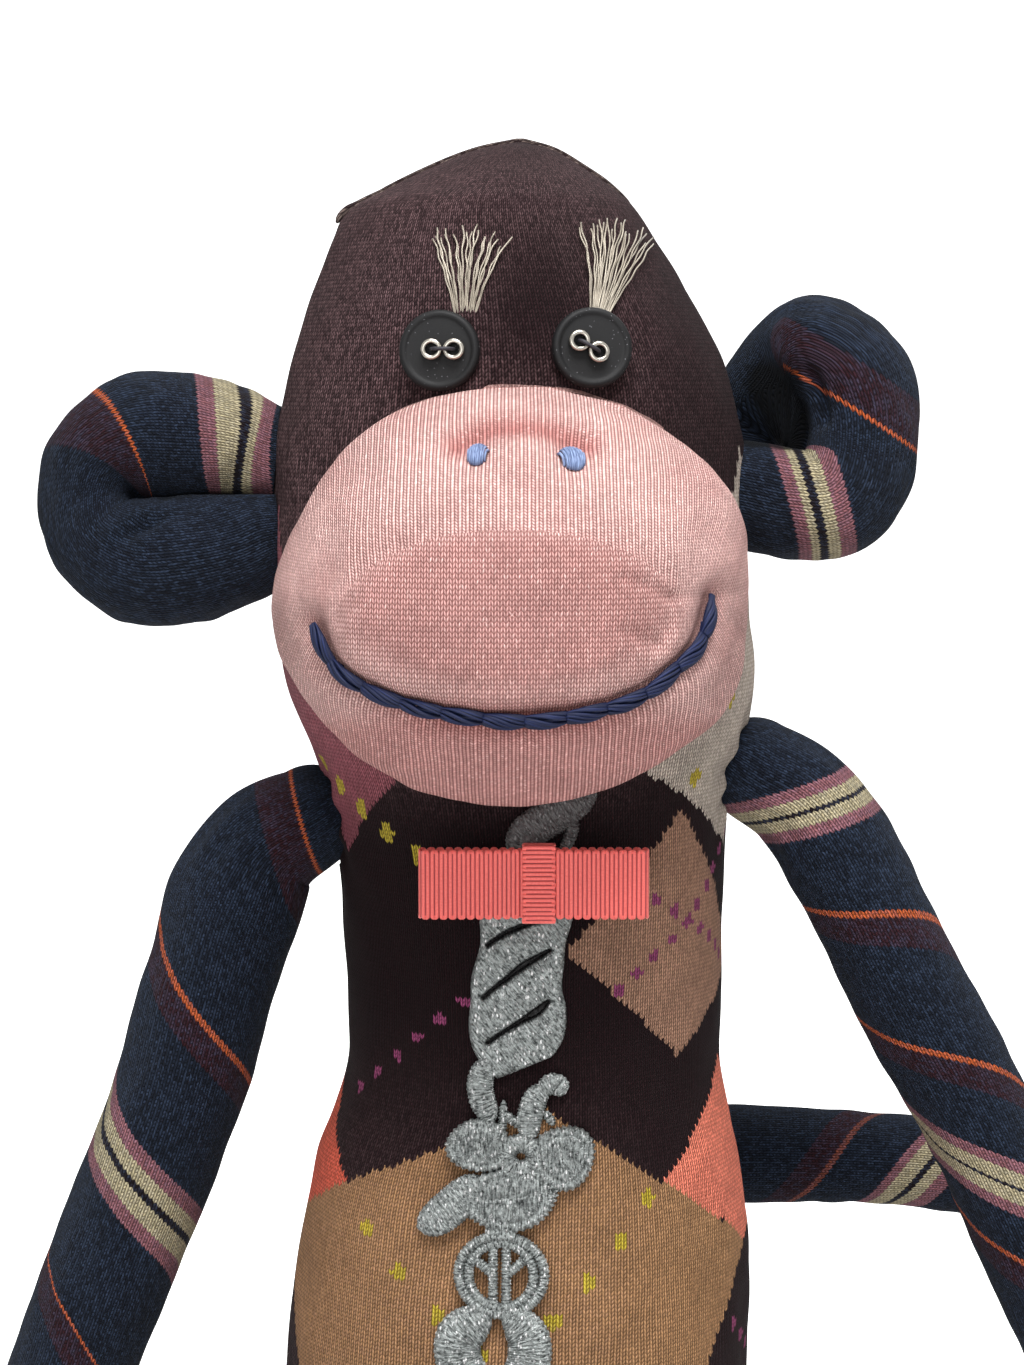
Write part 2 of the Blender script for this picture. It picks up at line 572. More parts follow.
# Striped sock: fine-gauge cotton in navy heather, cut on the slant so that its stripes wind round the limbs.
# The eye sees soft matt cloth with pale flecks and stripes whose edges step from stitch to stitch.
stripedCloth = {
    "wale": 1.5, "course": 1.0, "lean": -0.7, "gapTint": (0.2, 0.2, 0.2), "stitchTone": 0.25, "legTone": 0.0,
    "flecks": 0.9, "even": 0.2, "fleckLayer": None, "fleckColour": "#2f3b4f", "relief": 0.8,
    "sheen": 0.04, "sheenColour": "#a8b4c8",
}
yarns = {"navy": "#101622", "maroon": "#2e141a", "orange": "#b4562b", "rust": "#7a4030", "rose": "#8c5c62",
         "cream": "#b5a988", "dark": "#190f12", "plum": "#2b1c1e"}
broadBand = [("rose", 3.9), ("cream", 4.2), ("dark", 2.1), ("cream", 4.4), ("rose", 4.4)]
slimBand = [("rose", 2.8), ("cream", 3.2), ("dark", 1.3), ("cream", 3.2), ("rose", 2.9)]
narrowBand = [("orange", 1.8), ("maroon", 8.8)]


# Stripes as (start in mm, yarn) from the bands' places along a limb.
def stripesFrom(bands, ground="navy"):
    stripes = [(-1e3, ground)]
    for start, band in bands:
        for yarn, width in band:
            stripes.append((start, yarn))
            start += width
        stripes.append((start, ground))
    return stripes


def stripedKnit(name, cloth, stripes):
    material, tree = newTree(name)
    place = addNode(tree, "UVMap", uv_map="cloth")
    stitch = stitchPlace(tree, place, cloth["wale"], cloth["course"])
    along = addNode(tree, "SeparateXYZ", {0: stitch}).outputs["Y"]
    first, last = stripes[1][0] - 2, stripes[-1][0] + 2
    share = addNode(tree, "MapRange", {"Value": along, "From Min": first, "From Max": last})
    ramp = addNode(tree, "ValToRGB", {0: share})
    ramp.color_ramp.interpolation = "CONSTANT"
    elements = ramp.color_ramp.elements
    elements[0].color = linear(yarns[stripes[0][1]])
    elements.remove(elements[1])
    for start, yarn in stripes[1:]:
        elements.new((start - first) / (last - first)).color = linear(yarns[yarn])
    colour = ramp.outputs[0]
    if cloth["fleckLayer"]:  # the same map darkens the cloth where it lies deep
        lit = layerValue(tree, cloth["fleckLayer"])
        colour = addNode(tree, "VectorMath", {0: colour, "Scale": lit}, operation="SCALE")
    knitShader(tree, colour, place, cloth)
    return material


# Where a sock's stripes lie, from the run along its tube in mm. Round the tube they lean by the looks' leans:
# pairs of run and mm along for each mm round. Where the sock is folded or gathered they run straight instead,
# by the looks' turns: the runs of the change-over (first above last for a stretch up to there), a point across
# and up, the direction in degrees that the place grows in, and the place at the point.
def stripePlace(points, run, around, look):
    flat = np.concatenate([points, points[:, :1]], 1)[..., [0, 2]]
    place = run + np.interp(run, *zip(*look["leans"])) * around
    for (low, high), point, angle, value in look["turns"]:
        straight = value + (flat - point) @ directionAt(angle)
        place = place + smoothStep(run, low, high) * (straight - place)
    return np.stack([np.broadcast_to(around, place.shape), place], -1)


limbLooks = {
    "right_arm": {"bands": [(-0.9, [("orange", 1.8), ("maroon", 9.2)]), (55.5, narrowBand), (94.5, broadBand),
                            (144.5, narrowBand)],
                  "leans": [(0, 0.9), (58, 0.74), (100, 0.5), (120, 0.5), (146, 0.79)],
                  "turns": [((38, 22), (-56.5, 201.7), 196.3, 0)], "reference": (0, -1, 0), "seed": 11},
    "left_arm": {"bands": [(9.35, slimBand), (43.7, narrowBand), (83.5, narrowBand), (113, broadBand),
                           (147, narrowBand)],
                 "leans": [(20, 0.32), (46, 0.46), (85, 0.88), (120, 1.04), (150, 1.04)],
                 "turns": [((42, 30), (53.4, 188.8), -73.1, 16)], "reference": (0, -1, 0), "seed": 12},
    "right_leg": {"leans": [(0, 0)], "turns": [], "reference": (0, 0, 1), "seed": 13},
    "left_leg": {"leans": [(0, 0)], "turns": [], "reference": (0, 0, 1), "seed": 14},
    "tail": {"bands": [(30, broadBand), (86.3, [("maroon", 8.5), ("rust", 1.6)]), (113.5, broadBand)],
             "leans": [(0, 0.65)], "turns": [], "reference": (0, -1, 0), "seed": 15},
}
# the legs go on in the body's argyle, which is a guess: the photograph ends above them
legCloth = {
    **bodyCloth, "wale": 1.5, "fleckColour": "#403436", "fleckLayer": None,
    "patches": [
        ("#a97f58", [(-24, 95), (0, 132), (24, 95), (0, 58)]),
        ("#dc6b54", [(24, 132), (44, 160), (64, 132), (44, 104)]),
        ("#a8826c", [(-24, 132), (-44, 160), (-64, 132), (-44, 104)]),
    ],
    "lines": [
        ((-30, 64), (20, 142), 12, 2.4, 2.2, "#94466f"),
        ((30, 64), (-20, 142), 12, 2.4, 2.2, "#94466f"),
    ],
}
limbGauge = {"rows": 190, "sides": 96, "capRows": 14, "lumps": 0.55, "fineLumps": 0.22, "pleats": 11,
             "pleatDepth": 0.8}


# A stuffed tube: a ball at the root, swelling along its line, rounded at the tip.
# radius(s) = root + (full - root) * sin(min(1, s / taper) * 90 degrees), less the tip's narrowing.
def stuffedTube(limb, look):
    line = curveThrough(np.add(limb["line"], limb["pivot"]), limbGauge["rows"])
    length = runAlong(line)[-1]
    s = np.linspace(0, length, limbGauge["rows"])
    root, taper = limb["root"], limb["taper"]
    radius = root + (limb["radius"] - root) * np.sin(np.minimum(1, s / taper) * math.pi / 2)
    radius *= 1 - (1 - limb["tip"]) * np.clip((s - taper) / (length - taper), 0, None)
    bend = np.linspace(0, 1, limbGauge["capRows"], endpoint=False) * math.pi / 2
    first, last = unit(line[0] - line[1]), unit(line[-1] - line[-2])
    rootLine = line[0] + first * (radius[0] * np.cos(bend))[:, None]
    tipLine = (line[-1] + last * (radius[-1] * np.cos(bend))[:, None])[::-1]
    middles = np.vstack([rootLine, line, tipLine])
    sizes = np.concatenate([radius[0] * np.sin(bend), radius, radius[-1] * np.sin(bend)[::-1]])
    sizes = np.maximum(sizes, 0.3)
    rest = math.pi / 2 - bend
    run = np.concatenate([-radius[0] * rest, s, (length + radius[-1] * rest)[::-1]])
    sides = limbGauge["sides"]
    rough = sweep(middles, sizes, sizes, look["reference"], sides)
    free = smoothStep(run, root * 0.8, root * 2.2)[:, None]
    size = sizes[:, None] + limbGauge["lumps"] * lumps(rough, 30, look["seed"]) * free
    size += limbGauge["fineLumps"] * lumps(rough, 11, look["seed"] + 40) * free
    pleats = bell(run - root * 1.25, 9)[:, None]
    angle = anglesRound(sides, -math.pi)
    size -= limbGauge["pleatDepth"] * pleats * (0.6 + 0.4 * np.cos(limbGauge["pleats"] * angle))
    points = sweep(middles, size, size, look["reference"], sides)
    around = limb["radius"] * np.linspace(-math.pi, math.pi, sides + 1)
    return points, stripePlace(points, run[:, None], around, look)


def buildLimbs():
    for name, limb in limbs.items():
        look = limbLooks[name]
        points, uv = stuffedTube(limb, look)
        if "leg" in name:
            points[..., 2] = np.maximum(points[..., 2], 0.35)
            material = argyleKnit("cottonArgyleKnit_" + name, legCloth, toRun=lambda run: run)
        else:
            material = stripedKnit("cottonStripedKnit_" + name, stripedCloth, stripesFrom(look["bands"]))
        piece = skin(name + "_cloth", points, uv, material)
        finishPiece(piece, name, [name + "_sock", name + "_stuffing"])


print("stage: limbs")
buildLimbs()


# Ears: stuffed tubes bent over until their two branches press together. Lines and radii in mm, from the
# head's side round the bend and back; a fold is a line that the cloth is pinched along. A deep place is a
# middle across and up with its half sizes.
earLooks = {
    "right_ear": {
        "side": -1, "seed": 21, "leans": [(0, -0.15)], "start": 15, "crease": (-75, 0, 268.5), "turns": [],
        "deep": [((-75.7, 269), (15, 2.5))],
        "hollow": ((-90, 268.5), 9, -3),  # its middle across and up, its reach and the depth where it closes
        "line": [(-42, 2, 279), (-60, 2, 280), (-71, 2, 283.5), (-83, 2, 284.6), (-95, 1, 284.4),
                 (-104, 0, 279.5), (-107.2, -1, 270), (-104, -3, 260.5), (-93.5, -5, 255), (-81, -6, 255.4),
                 (-70, -5, 257.5), (-60, -3, 261), (-42, -2, 264)],
        "radii": [12, 12, 14, 16, 15.8, 13, 12.2, 13.6, 16.2, 16.2, 14.6, 12.6, 12],
        "folds": [[(-82, -20, 269.5), (-90, -19, 265.5), (-96, -18, 260), (-102, -15, 253)]],
        "bands": [(3.5, [("rose", 4.3), ("cream", 2.6), ("dark", 1.8), ("cream", 4.2), ("rose", 4.8)]),
                  (39, [("orange", 1.4), ("maroon", 9)])],
    },
    "left_ear": {
        "side": 1, "seed": 22, "leans": [(0, 0)], "start": 15, "crease": (64, 4, 281),
        "hollow": ((66, 282), 16, -2),
        "deep": [((61, 291), (9, 13)), ((66.5, 287), (5, 8))],
        "turns": [((29, 35), (70.5, 298.5), 237, 58), ((67, 76), (75.4, 281), 194.4, 78)],
        "line": [(38, 22, 280), (54, 20, 284), (64, 16, 296), (73, 8, 306), (81.5, 0, 300.5), (84.5, -4, 289),
                 (82.5, -8, 277), (76.5, -11, 269), (66, -9, 268.5), (52, -4, 271), (38, 0, 272)],
        "radii": [11, 11, 13.4, 13.8, 14, 13.8, 13.6, 13.4, 13.2, 12.6, 11.5],
        "folds": [[(71, -2, 306), (72, -10, 298), (72.5, -13, 290)]],
        "bands": [(47, [("maroon", 9.4), ("orange", 1.6)]),
                  (76.5, [("rose", 4.4), ("cream", 3.2), ("dark", 1.4), ("cream", 2.8), ("rose", 3)])],
    },
}
earGauge = {"rows": 230, "sides": 110, "lumps": 0.6, "fineLumps": 0.3, "foldDepth": 2.8, "foldWidth": 2.3,
            "gap": 0.03, "lit": 0.84, "leastLit": 0.06}


# Moves points that lie inside the head straight out sideways to its skin.
def outOfHead(points, side):
    shift, halfWidth, halfDepth = bodySection(points[..., 2])
    wide = halfWidth * np.sqrt(np.clip(1 - (points[..., 1] / halfDepth) ** 2, 0, 1))
    skinX = shift + side * (wide + gap)
    isInside = (points[..., 0] * side < skinX * side) & (wide > 0)
    moved = points.copy()
    moved[..., 0] = np.where(isInside, skinX, points[..., 0])
    return moved


def buildEars():
    rows, sides = earGauge["rows"], earGauge["sides"]
    for name, ear in earLooks.items():
        shape = curveThrough(np.column_stack([ear["line"], ear["radii"]]), rows)
        line, radius = shape[:, :3], shape[:, 3]
        rough = sweep(line, radius, radius, (0, -1, 0), sides)
        size = radius[:, None] + earGauge["lumps"] * lumps(rough, 24, ear["seed"])
        size += earGauge["fineLumps"] * lumps(rough, 9, ear["seed"] + 40)
        for fold in ear["folds"]:
            away = distanceTo(rough, curveThrough(fold, 40))
            size -= earGauge["foldDepth"] * bell(away, earGauge["foldWidth"])
        points = sweep(line, size, size, (0, -1, 0), sides)
        # behind, the hollow's walls meet
        hollow, reach, depth = ear["hollow"]
        offset = points[..., [0, 2]] - hollow
        close = smoothStep(points[..., 1], depth, depth + 5)
        close *= 1 - smoothStep(np.linalg.norm(offset, axis=-1), reach * 0.75, reach)
        points[..., [0, 2]] = hollow + offset * (1 - 0.98 * close)[..., None]
        # where the branches press together, each keeps to its own side of the plane between them
        turn = rows // 2
        isUpper = np.arange(rows) < turn
        branch = np.abs(line[:, 0]) < abs(line[turn, 0]) - radius[turn] + 1
        upperMiddle, lowerMiddle = line[branch & isUpper].mean(0), line[branch & ~isUpper].mean(0)
        normal = unit((upperMiddle - lowerMiddle) * (0, 1, 1))
        sign = np.where(isUpper, 1, -1)[:, None]
        beyond = sign * ((points - ear["crease"]) @ normal) - earGauge["gap"]
        move = np.where(branch[:, None], np.minimum(beyond, 0), 0) * sign
        points = outOfHead(points - move[..., None] * normal, ear["side"])
        around = radius.max() * np.linspace(-math.pi, math.pi, sides + 1)
        uv = stripePlace(points, runAlong(line)[:, None] - ear["start"], around, ear)
        cloth = {**stripedCloth, "fleckLayer": "lit"}
        material = stripedKnit("cottonStripedKnit_" + name, cloth, stripesFrom(ear["bands"]))
        piece = skin(name + "_cloth", points, uv, material)
        lit = np.full((rows, sides), earGauge["lit"])
        isDeep = smoothStep(points[..., 1], -13, -8) * (1 - smoothStep(points[..., 1], 3, 7))
        for middle, half in ear["deep"]:  # deep in the fold the cloth lies dark
            away = fromOval(points[..., [0, 2]], middle, half)
            lit -= isDeep * (1 - smoothStep(away, 0.7, 1.2))
        lit = np.maximum(lit, earGauge["leastLit"])
        addLayer(piece.data, "lit", np.append(lit.ravel(), [earGauge["lit"], earGauge["lit"]]))
        finishPiece(piece, "root", [name])


print("stage: ears")
buildEars()


# Muzzle: the sock's heel, stretched over a full dome. The eye sees fine upright ribs, larger V stitches over
# the middle, a pinched crease between the nostrils and a groove under the mouth's floss.
muzzle = {
    "middle": (-2, 249), "half": (56, 48.9), "base": 42, "bulge": 60, "blunt": 2.2, "rows": 250, "sides": 300,
    "mouthDepth": 2.2, "lipRise": 0.6, "nostrils": [(-9.6, 283.7), (11.3, 282.8)], "nostrilDepth": 2.0,
    "creaseDepth": 1.6, "bridge": (1, 282), "bridgeRise": 1.2, "heelRise": 0.8,
    "lumps": 0.7, "fineLumps": 0.25, "tuck": 26,  # how far the cloth runs on behind the seam
    # the dome is narrower or, if below 0, wider on each side: share, at this rise, over this reach
    "cheeks": {-1: [(0.055, 0.5, 0.4)], 1: [(-0.045, 0.52, 0.35), (0.035, 0, 0.35), (-0.07, -0.65, 0.3)]},
    "turn": (36, 251.5),  # half distance and height of the ends of the heel's turn, which the ribs run to
}
mouthPoints = [
    (-46, 245.2), (-42, 237.2), (-36, 232.6), (-25.5, 228.8), (-13.5, 226.5), (0, 225.3), (13, 226.6),
    (26, 230.3), (35, 236.8), (40, 241.8), (43, 251.5),
]
pinkCloth = {
    "wale": 1.7, "course": 0.8, "lean": 0.7,
    "gapTint": (0.26, 0.15, 0.145), "stitchTone": 0.14, "legTone": 0.06, "relief": 0.8,
    "flecks": 0.2, "even": 0.0, "fleckLayer": None, "fleckColour": "#a0908c",
    "sheen": 0.08, "sheenColour": "#ffd9d2",
    "base": "#e9c3bd", "shade": "#bd7b76",
    "heelScale": (1.3, 0.62, 1),  # the heel's stitches are narrower and taller
}


# Share of the full half width at a place's rise, from -1 at the dome's lowest edge to 1 at its highest.
def cheekShare(side, rise):
    shares = [1 - sum(loss * bell(rise - at, reach) for loss, at, reach in muzzle["cheeks"][way])
              for way in (-1, 1)]
    return np.where(side < 0, *shares)


def muzzleDepth(x, height):
    across = (x - muzzle["middle"][0]) / muzzle["half"][0]
    rise = (height - muzzle["middle"][1]) / muzzle["half"][1]
    wide = across
    for _ in range(3):  # the narrowing depends on the rise for that width, so it settles in a few rounds
        wide = across / cheekShare(across, rise / np.maximum(np.hypot(wide, rise), 1e-6))
    out = np.minimum(1, np.hypot(wide, rise))
    return muzzle["base"] + muzzle["bulge"] * (1 - out ** muzzle["blunt"]) ** (1 / muzzle["blunt"])


mouthLine = curveThrough(mouthPoints, 160)
creaseLine = curveThrough([(-14.5, 285.1), (-8.4, 288.2), (-1, 289), (6.4, 288.2), (15, 285.1)], 50)
# pinches at the ends of the heel's turn: points along a line, depth and width
pinches = [
    ([(-39.5, 246.8), (-38, 250), (-37, 255), (-32.5, 259.5), (-26, 263)], 0.8, 1.8),
    ([(22, 256.3), (27, 254.5), (31, 252.4), (33.5, 251.6)], 0.8, 1.6),
    ([(22.5, 245), (26.5, 243), (29.5, 241.6)], 0.7, 1.7),
    ([(31, 252), (40, 251.6), (50, 251)], 0.4, 1.3),
    ([(26.5, 262), (31, 258), (33.4, 253), (32.5, 247), (29.5, 242)], 0.5, 1.8),
]
pinchLines = [(curveThrough(points, 24), depth, width) for points, depth, width in pinches]


# How far a place on the muzzle's face is pushed in or out, in mm, from its place across and up.
def muzzleRelief(flat):
    toMouth = distanceTo(flat, mouthLine)
    relief = -muzzle["mouthDepth"] * bell(toMouth, 2.7) + muzzle["lipRise"] * bell(toMouth - 6, 3.6)
    for spot in muzzle["nostrils"]:
        relief -= muzzle["nostrilDepth"] * near(flat, spot, 4.2)
    relief -= muzzle["creaseDepth"] * bell(distanceTo(flat, creaseLine), 2.6)
    relief += muzzle["bridgeRise"] * near(flat, muzzle["bridge"], 6.5)  # between the nostrils
    relief += muzzle["heelRise"] * (1 - smoothStep(fromOval(flat, (-2.5, 250), (36, 17)), 0.8, 1.06))
    for line, depth, width in pinchLines:
        relief -= depth * bell(distanceTo(flat, line), width)
    return relief


def pinkKnit(name, cloth):
    material, tree = newTree(name)
    place = addNode(tree, "UVMap", uv_map="cloth")
    shadeNoise = addNode(tree, "TexNoise", {"Vector": place, "Scale": 0.045, "Detail": 3.0})
    shadeShare = addNode(tree, "MapRange", {"Value": shadeNoise, "From Min": 0.42, "From Max": 0.7,
                                            "To Max": 0.3})
    pinch = layerValue(tree, "pinch")
    share = addNode(tree, "Math", {0: shadeShare, 1: pinch}, operation="MAXIMUM", use_clamp=True)
    base, shade = linear(cloth["base"]), linear(cloth["shade"])
    colour = addNode(tree, "Mix", {0: share, 6: base, 7: shade}, data_type="RGBA")
    isHeel = addNode(tree, "Math", {0: layerValue(tree, "heel"), 1: 0.5}, operation="GREATER_THAN")
    inner = addNode(tree, "VectorMath", {0: place, 1: cloth["heelScale"]}, operation="MULTIPLY")
    chosen = addNode(tree, "Mix", {0: isHeel, 4: place, 5: inner}, data_type="VECTOR").outputs[1]
    knitShader(tree, colour.outputs[2], chosen, cloth, beaded=isHeel)
    return material


def buildMuzzle():
    rows, sides = muzzle["rows"], muzzle["sides"]
    (middleX, middleZ), (halfX, halfZ) = muzzle["middle"], muzzle["half"]
    angle = anglesRound(sides, -math.pi)
    t = np.linspace(0.004, 1, rows)
    forward = np.cos(t * math.pi / 2) * (muzzle["bulge"] + muzzle["tuck"]) - muzzle["tuck"]
    past = np.clip(forward / muzzle["bulge"], 0, 1)
    share = np.maximum((1 - past ** muzzle["blunt"]) ** (1 / muzzle["blunt"]), 0.004)[:, None]
    x = middleX + halfX * share * np.sin(angle) * cheekShare(np.sin(angle), np.cos(angle))
    z = middleZ + halfZ * share * np.cos(angle)
    y = np.broadcast_to(-(muzzle["base"] + forward)[:, None], x.shape)
    points = np.stack([x, y, z], -1)
    flat = points[..., [0, 2]]
    outward = unit(points - (middleX, 10 - muzzle["base"], middleZ))
    swell = muzzleRelief(flat) * smoothStep(forward, 0, 14)[:, None]
    swell += muzzle["lumps"] * lumps(points, 40, 31) + muzzle["fineLumps"] * lumps(points, 13, 32)
    points = points + outward * swell[..., None]
    skinY = -bodyDepth(points[..., 0], points[..., 2]) - gap
    points[..., 1] = np.minimum(points[..., 1], skinY)
    # the cloth's places follow the dome: ribs stand upright, but towards the sides they crowd together and
    # run to the ends of the heel's turn, where the stitches are closest
    turnX, turnZ = muzzle["turn"]
    across = np.clip((x - middleX) / (halfX * 1.08), -1, 1)
    wrap = halfX * np.arcsin(across) * 1.1
    turnWrap = halfX * math.asin(turnX / (halfX * 1.08)) * 1.1
    crowd = 0.5 + 0.5 * smoothStep(np.abs(z - turnZ), 0, 26)
    past = np.maximum(np.abs(wrap) - turnWrap, 0)
    wrap = np.sign(wrap) * (np.minimum(np.abs(wrap), turnWrap) + past / crowd)
    behind = -np.minimum(forward, 0)[:, None]
    upright = halfZ * np.arcsin(np.clip((z - middleZ) / halfZ / 1.02, -1, 1)) * 1.15
    uv = np.stack([wrap + behind * np.sin(angle), upright + behind * np.cos(angle)], -1)
    uv = np.concatenate([uv, uv[:, :1]], 1)
    piece = skin("muzzle_cloth", points, uv, pinkKnit("cottonHeelKnit", pinkCloth))
    # one map holds how strongly the cloth is pinched, which reddens it round the nostrils, mouth and heel
    pinch = 0.85 * bell(distanceTo(flat, creaseLine), 3) + 0.4 * bell(distanceTo(flat, mouthLine), 3.4)
    pinch += 0.5 * (1 - smoothStep(fromOval(flat, (-2.5, 250), (38, 18)), 0.75, 1.15))
    pinch += 0.6 * (1 - smoothStep(flat[..., 1] + 0.004 * flat[..., 0] ** 2, 224, 236))
    addLayer(piece.data, "pinch", np.append(pinch.ravel(), [0, 0]))
    # and another holds where the larger stitches are
    heel = 1 - smoothStep(fromOval(flat, (-2.5, 246), (38, 21)), 0.9, 1.1)
    addLayer(piece.data, "heel", np.append(heel.ravel(), [0, 0]))
    finishPiece(piece, "root", ["muzzle_sock", "muzzle_stuffing"])


print("stage: muzzle")
buildMuzzle()


# Floss and thread. The eye sees soft plied strands with a dull shine.
def flossMaterial(name, base, light, metallic=0.0, roughness=0.5):
    material, tree = newTree(name)
    place = addNode(tree, "UVMap", uv_map="cloth")
    ply = addNode(tree, "VectorMath", {0: place, 1: (0.9, 0.12, 1)}, operation="MULTIPLY")
    fibres = addNode(tree, "TexNoise", {"Vector": ply, "Scale": 1.0, "Detail": 4.0, "Roughness": 0.7})
    share = addNode(tree, "MapRange", {"Value": fibres, "From Min": 0.35, "From Max": 0.7})
    colour = addNode(tree, "Mix", {0: share, 6: linear(base), 7: linear(light)}, data_type="RGBA")
    bump = addNode(tree, "Bump", {"Height": fibres, "Strength": 0.5, "Distance": 0.15 * mm})
    finishTree(tree, {"Base Color": colour.outputs[2], "Roughness": roughness, "Metallic": metallic,
                      "Normal": bump, "Specular IOR Level": 0.3})
    return material


# A strand along a line. Its map holds the run along it.
def strandSkin(name, line, thickness, reference, sides, run, material):
    points = sweep(line, thickness, thickness, reference, sides)
    return skin(name, points, gridMap(np.arange(sides + 1.0), run), material)


# Mouth: six-ply cotton floss in navy, sewn as chain stitches
mouthFloss = {
    "stitch": 10.5, "overlap": 3.0, "strands": 15, "strand": 0.42, "halfWidth": 1.7, "halfDepth": 0.95,
    "bulge": 1.12,  # the muzzle bulges, so the mouth is longer than seen from in front
    "twist": 0.4, "sunk": 0.75, "rows": 36, "sides": 7,
}


def buildMouth():
    material = flossMaterial("cottonFlossNavy", "#050819", "#152350", roughness=0.6)
    total = runAlong(mouthLine)[-1] * mouthFloss["bulge"]
    count = round(total / mouthFloss["stitch"])
    strands = []
    random = np.random.default_rng(41)
    rows, sides = mouthFloss["rows"], mouthFloss["sides"]
    own = np.linspace(0, 1, rows)
    rise = 0.5 * np.sin(own * math.pi) + 0.9 * (1 - own)  # each stitch comes up out of the one before
    run = own * mouthFloss["stitch"]
    for k in range(count):
        start = k / count
        end = min(1.0, (k + 1) / count + mouthFloss["overlap"] / total)
        share = np.linspace(start, end, rows)
        x, z = (np.interp(share, np.linspace(0, 1, len(mouthLine)), mouthLine[:, axis]) for axis in (0, 1))
        taper = 0.65 + 0.35 * np.sin(np.clip(own * 1.25, 0, 1) * math.pi) ** 0.6
        taper *= np.minimum(1, 0.75 + 7 * np.minimum(share, 1 - share))
        place, normal = onFront(muzzleDepth, x, z, rise - mouthFloss["sunk"])
        side = np.cross(normal, tangentOf(place))
        for j in range(mouthFloss["strands"]):
            angle = j / mouthFloss["strands"] + mouthFloss["twist"] * own
            angle = fullTurn * angle + random.uniform(-0.2, 0.2)
            line = place
            if j > 0:  # the first strand is the middle one
                line = place + side * (mouthFloss["halfWidth"] * np.cos(angle) * taper)[:, None]
                line = line + normal * (mouthFloss["halfDepth"] * np.sin(angle) * taper)[:, None]
            thickness = mouthFloss["strand"] * taper
            strands.append(strandSkin("strand", line, thickness, normal, sides, run + 20 * j, material))
    piece = joinPieces("mouth_stitches", strands)
    finishPiece(piece, "root", ["mouth_floss"])


print("stage: mouth")
buildMouth()


# Nostrils: knots of light blue cotton floss in satin stitch
nostrils = {
    "strands": 9, "rows": 20, "sides": 8, "rise": 2.2, "sunk": 1.2,
    # place across and up, half width and half height
    "spots": {"right": (-9.6, 283.2, 2.2, 3.1), "left": (11.3, 282.3, 2.8, 3.3)},
}


def buildNostrils():
    material = flossMaterial("cottonFlossBlue", "#25345c", "#9aaed4")
    rows, count = nostrils["rows"], nostrils["strands"]
    own = np.linspace(-1, 1, rows)
    for side, (x, z, halfWidth, halfHeight) in nostrils["spots"].items():
        place, normal = onFront(muzzleDepth, x, z, -nostrils["sunk"])
        across, upward = axesOn(normal)
        strands = []
        for k in range(count):
            shift = 2 * (k + 0.5) / count - 1
            reach = halfHeight * math.sqrt(1 - shift * shift * 0.9)
            rise = nostrils["rise"] * np.sqrt((1 - 0.97 * own ** 2) * (1 - 0.8 * shift ** 2))
            line = (place + across * (shift * (1 + 0.105 * own) * halfWidth)[:, None]
                    + upward * (own * reach)[:, None] + normal * rise[:, None])
            strands.append(strandSkin("strand", line, halfWidth / count * 1.15, normal, nostrils["sides"],
                                      np.arange(rows) + 20.0 * k, material))
        piece = joinPieces(side + "_nostril_stitches", strands)
        finishPiece(piece, "root", [side + "_nostril"])


buildNostrils()


# Eyes: buttons, beads and thread
# place across and up, and the beads' turn in degrees
eyeSpots = {"right": (-18.2, 305.3, 0), "left": (15.8, 305.8, -30)}
button = {"radius": 9.35, "thickness": 3.2, "rim": 1.5, "dish": 0.35, "lift": 0.8, "pull": 1.2, "sides": 96}
bead = {"outer": 2.55, "bore": 1.25, "length": 2.2, "spacing": 5.15, "towardsNose": 1.1, "sides": 48}
eyeThread = 0.45  # radius


# Moulded urea plastic in matt black. The eye sees a soft grey shine on the rim and pale lint caught on it.
def buttonMaterial(name):
    material, tree = newTree(name)
    place = placeInMm(tree)
    grain = addNode(tree, "TexNoise", {"Vector": place, "Scale": 2.4, "Detail": 4.0})
    lint = addNode(tree, "TexVoronoi", {"Vector": place, "Scale": 0.9, "Randomness": 1.0})
    isLint = addNode(tree, "Math", {0: lint.outputs["Distance"], 1: 0.09}, operation="LESS_THAN")
    colour = addNode(tree, "Mix", {0: grain, 6: linear("#040405"), 7: linear("#0c0c0e")}, data_type="RGBA")
    speckled = addNode(tree, "Mix", {0: isLint, 6: colour.outputs[2], 7: linear("#75757a")}, data_type="RGBA")
    rough = addNode(tree, "MapRange", {"Value": grain, "To Min": 0.5, "To Max": 0.7})
    bump = addNode(tree, "Bump", {"Height": grain, "Strength": 0.25, "Distance": 0.1 * mm})
    finishTree(tree, {"Base Color": speckled.outputs[2], "Roughness": rough, "Specular IOR Level": 0.25,
                      "Normal": bump})
    return material


# Polished nickel plate, slightly scratched. The eye sees sharp bright edges and dark reflections.
def beadMaterial(name):
    material, tree = newTree(name)
    scratches = addNode(tree, "TexNoise", {"Vector": placeInMm(tree), "Scale": 3.0, "Detail": 5.0})
    rough = addNode(tree, "MapRange", {"Value": scratches, "To Min": 0.14, "To Max": 0.32})
    finishTree(tree, {"Base Color": linear("#a39e95"), "Metallic": 1.0, "Roughness": rough})
    return material


# A profile of (radius, height) turned about the seat's normal.
def turned(profile, sides, seat, normal, shift=0.0, turn=0.0):
    across, upward = axesOn(normal, turn)
    angle = anglesRound(sides)
    ring = across * np.cos(angle)[:, None] + upward * np.sin(angle)[:, None]
    return (seat + across * shift + profile[:, 0, None, None] * ring[None]
            + profile[:, 1, None, None] * normal)


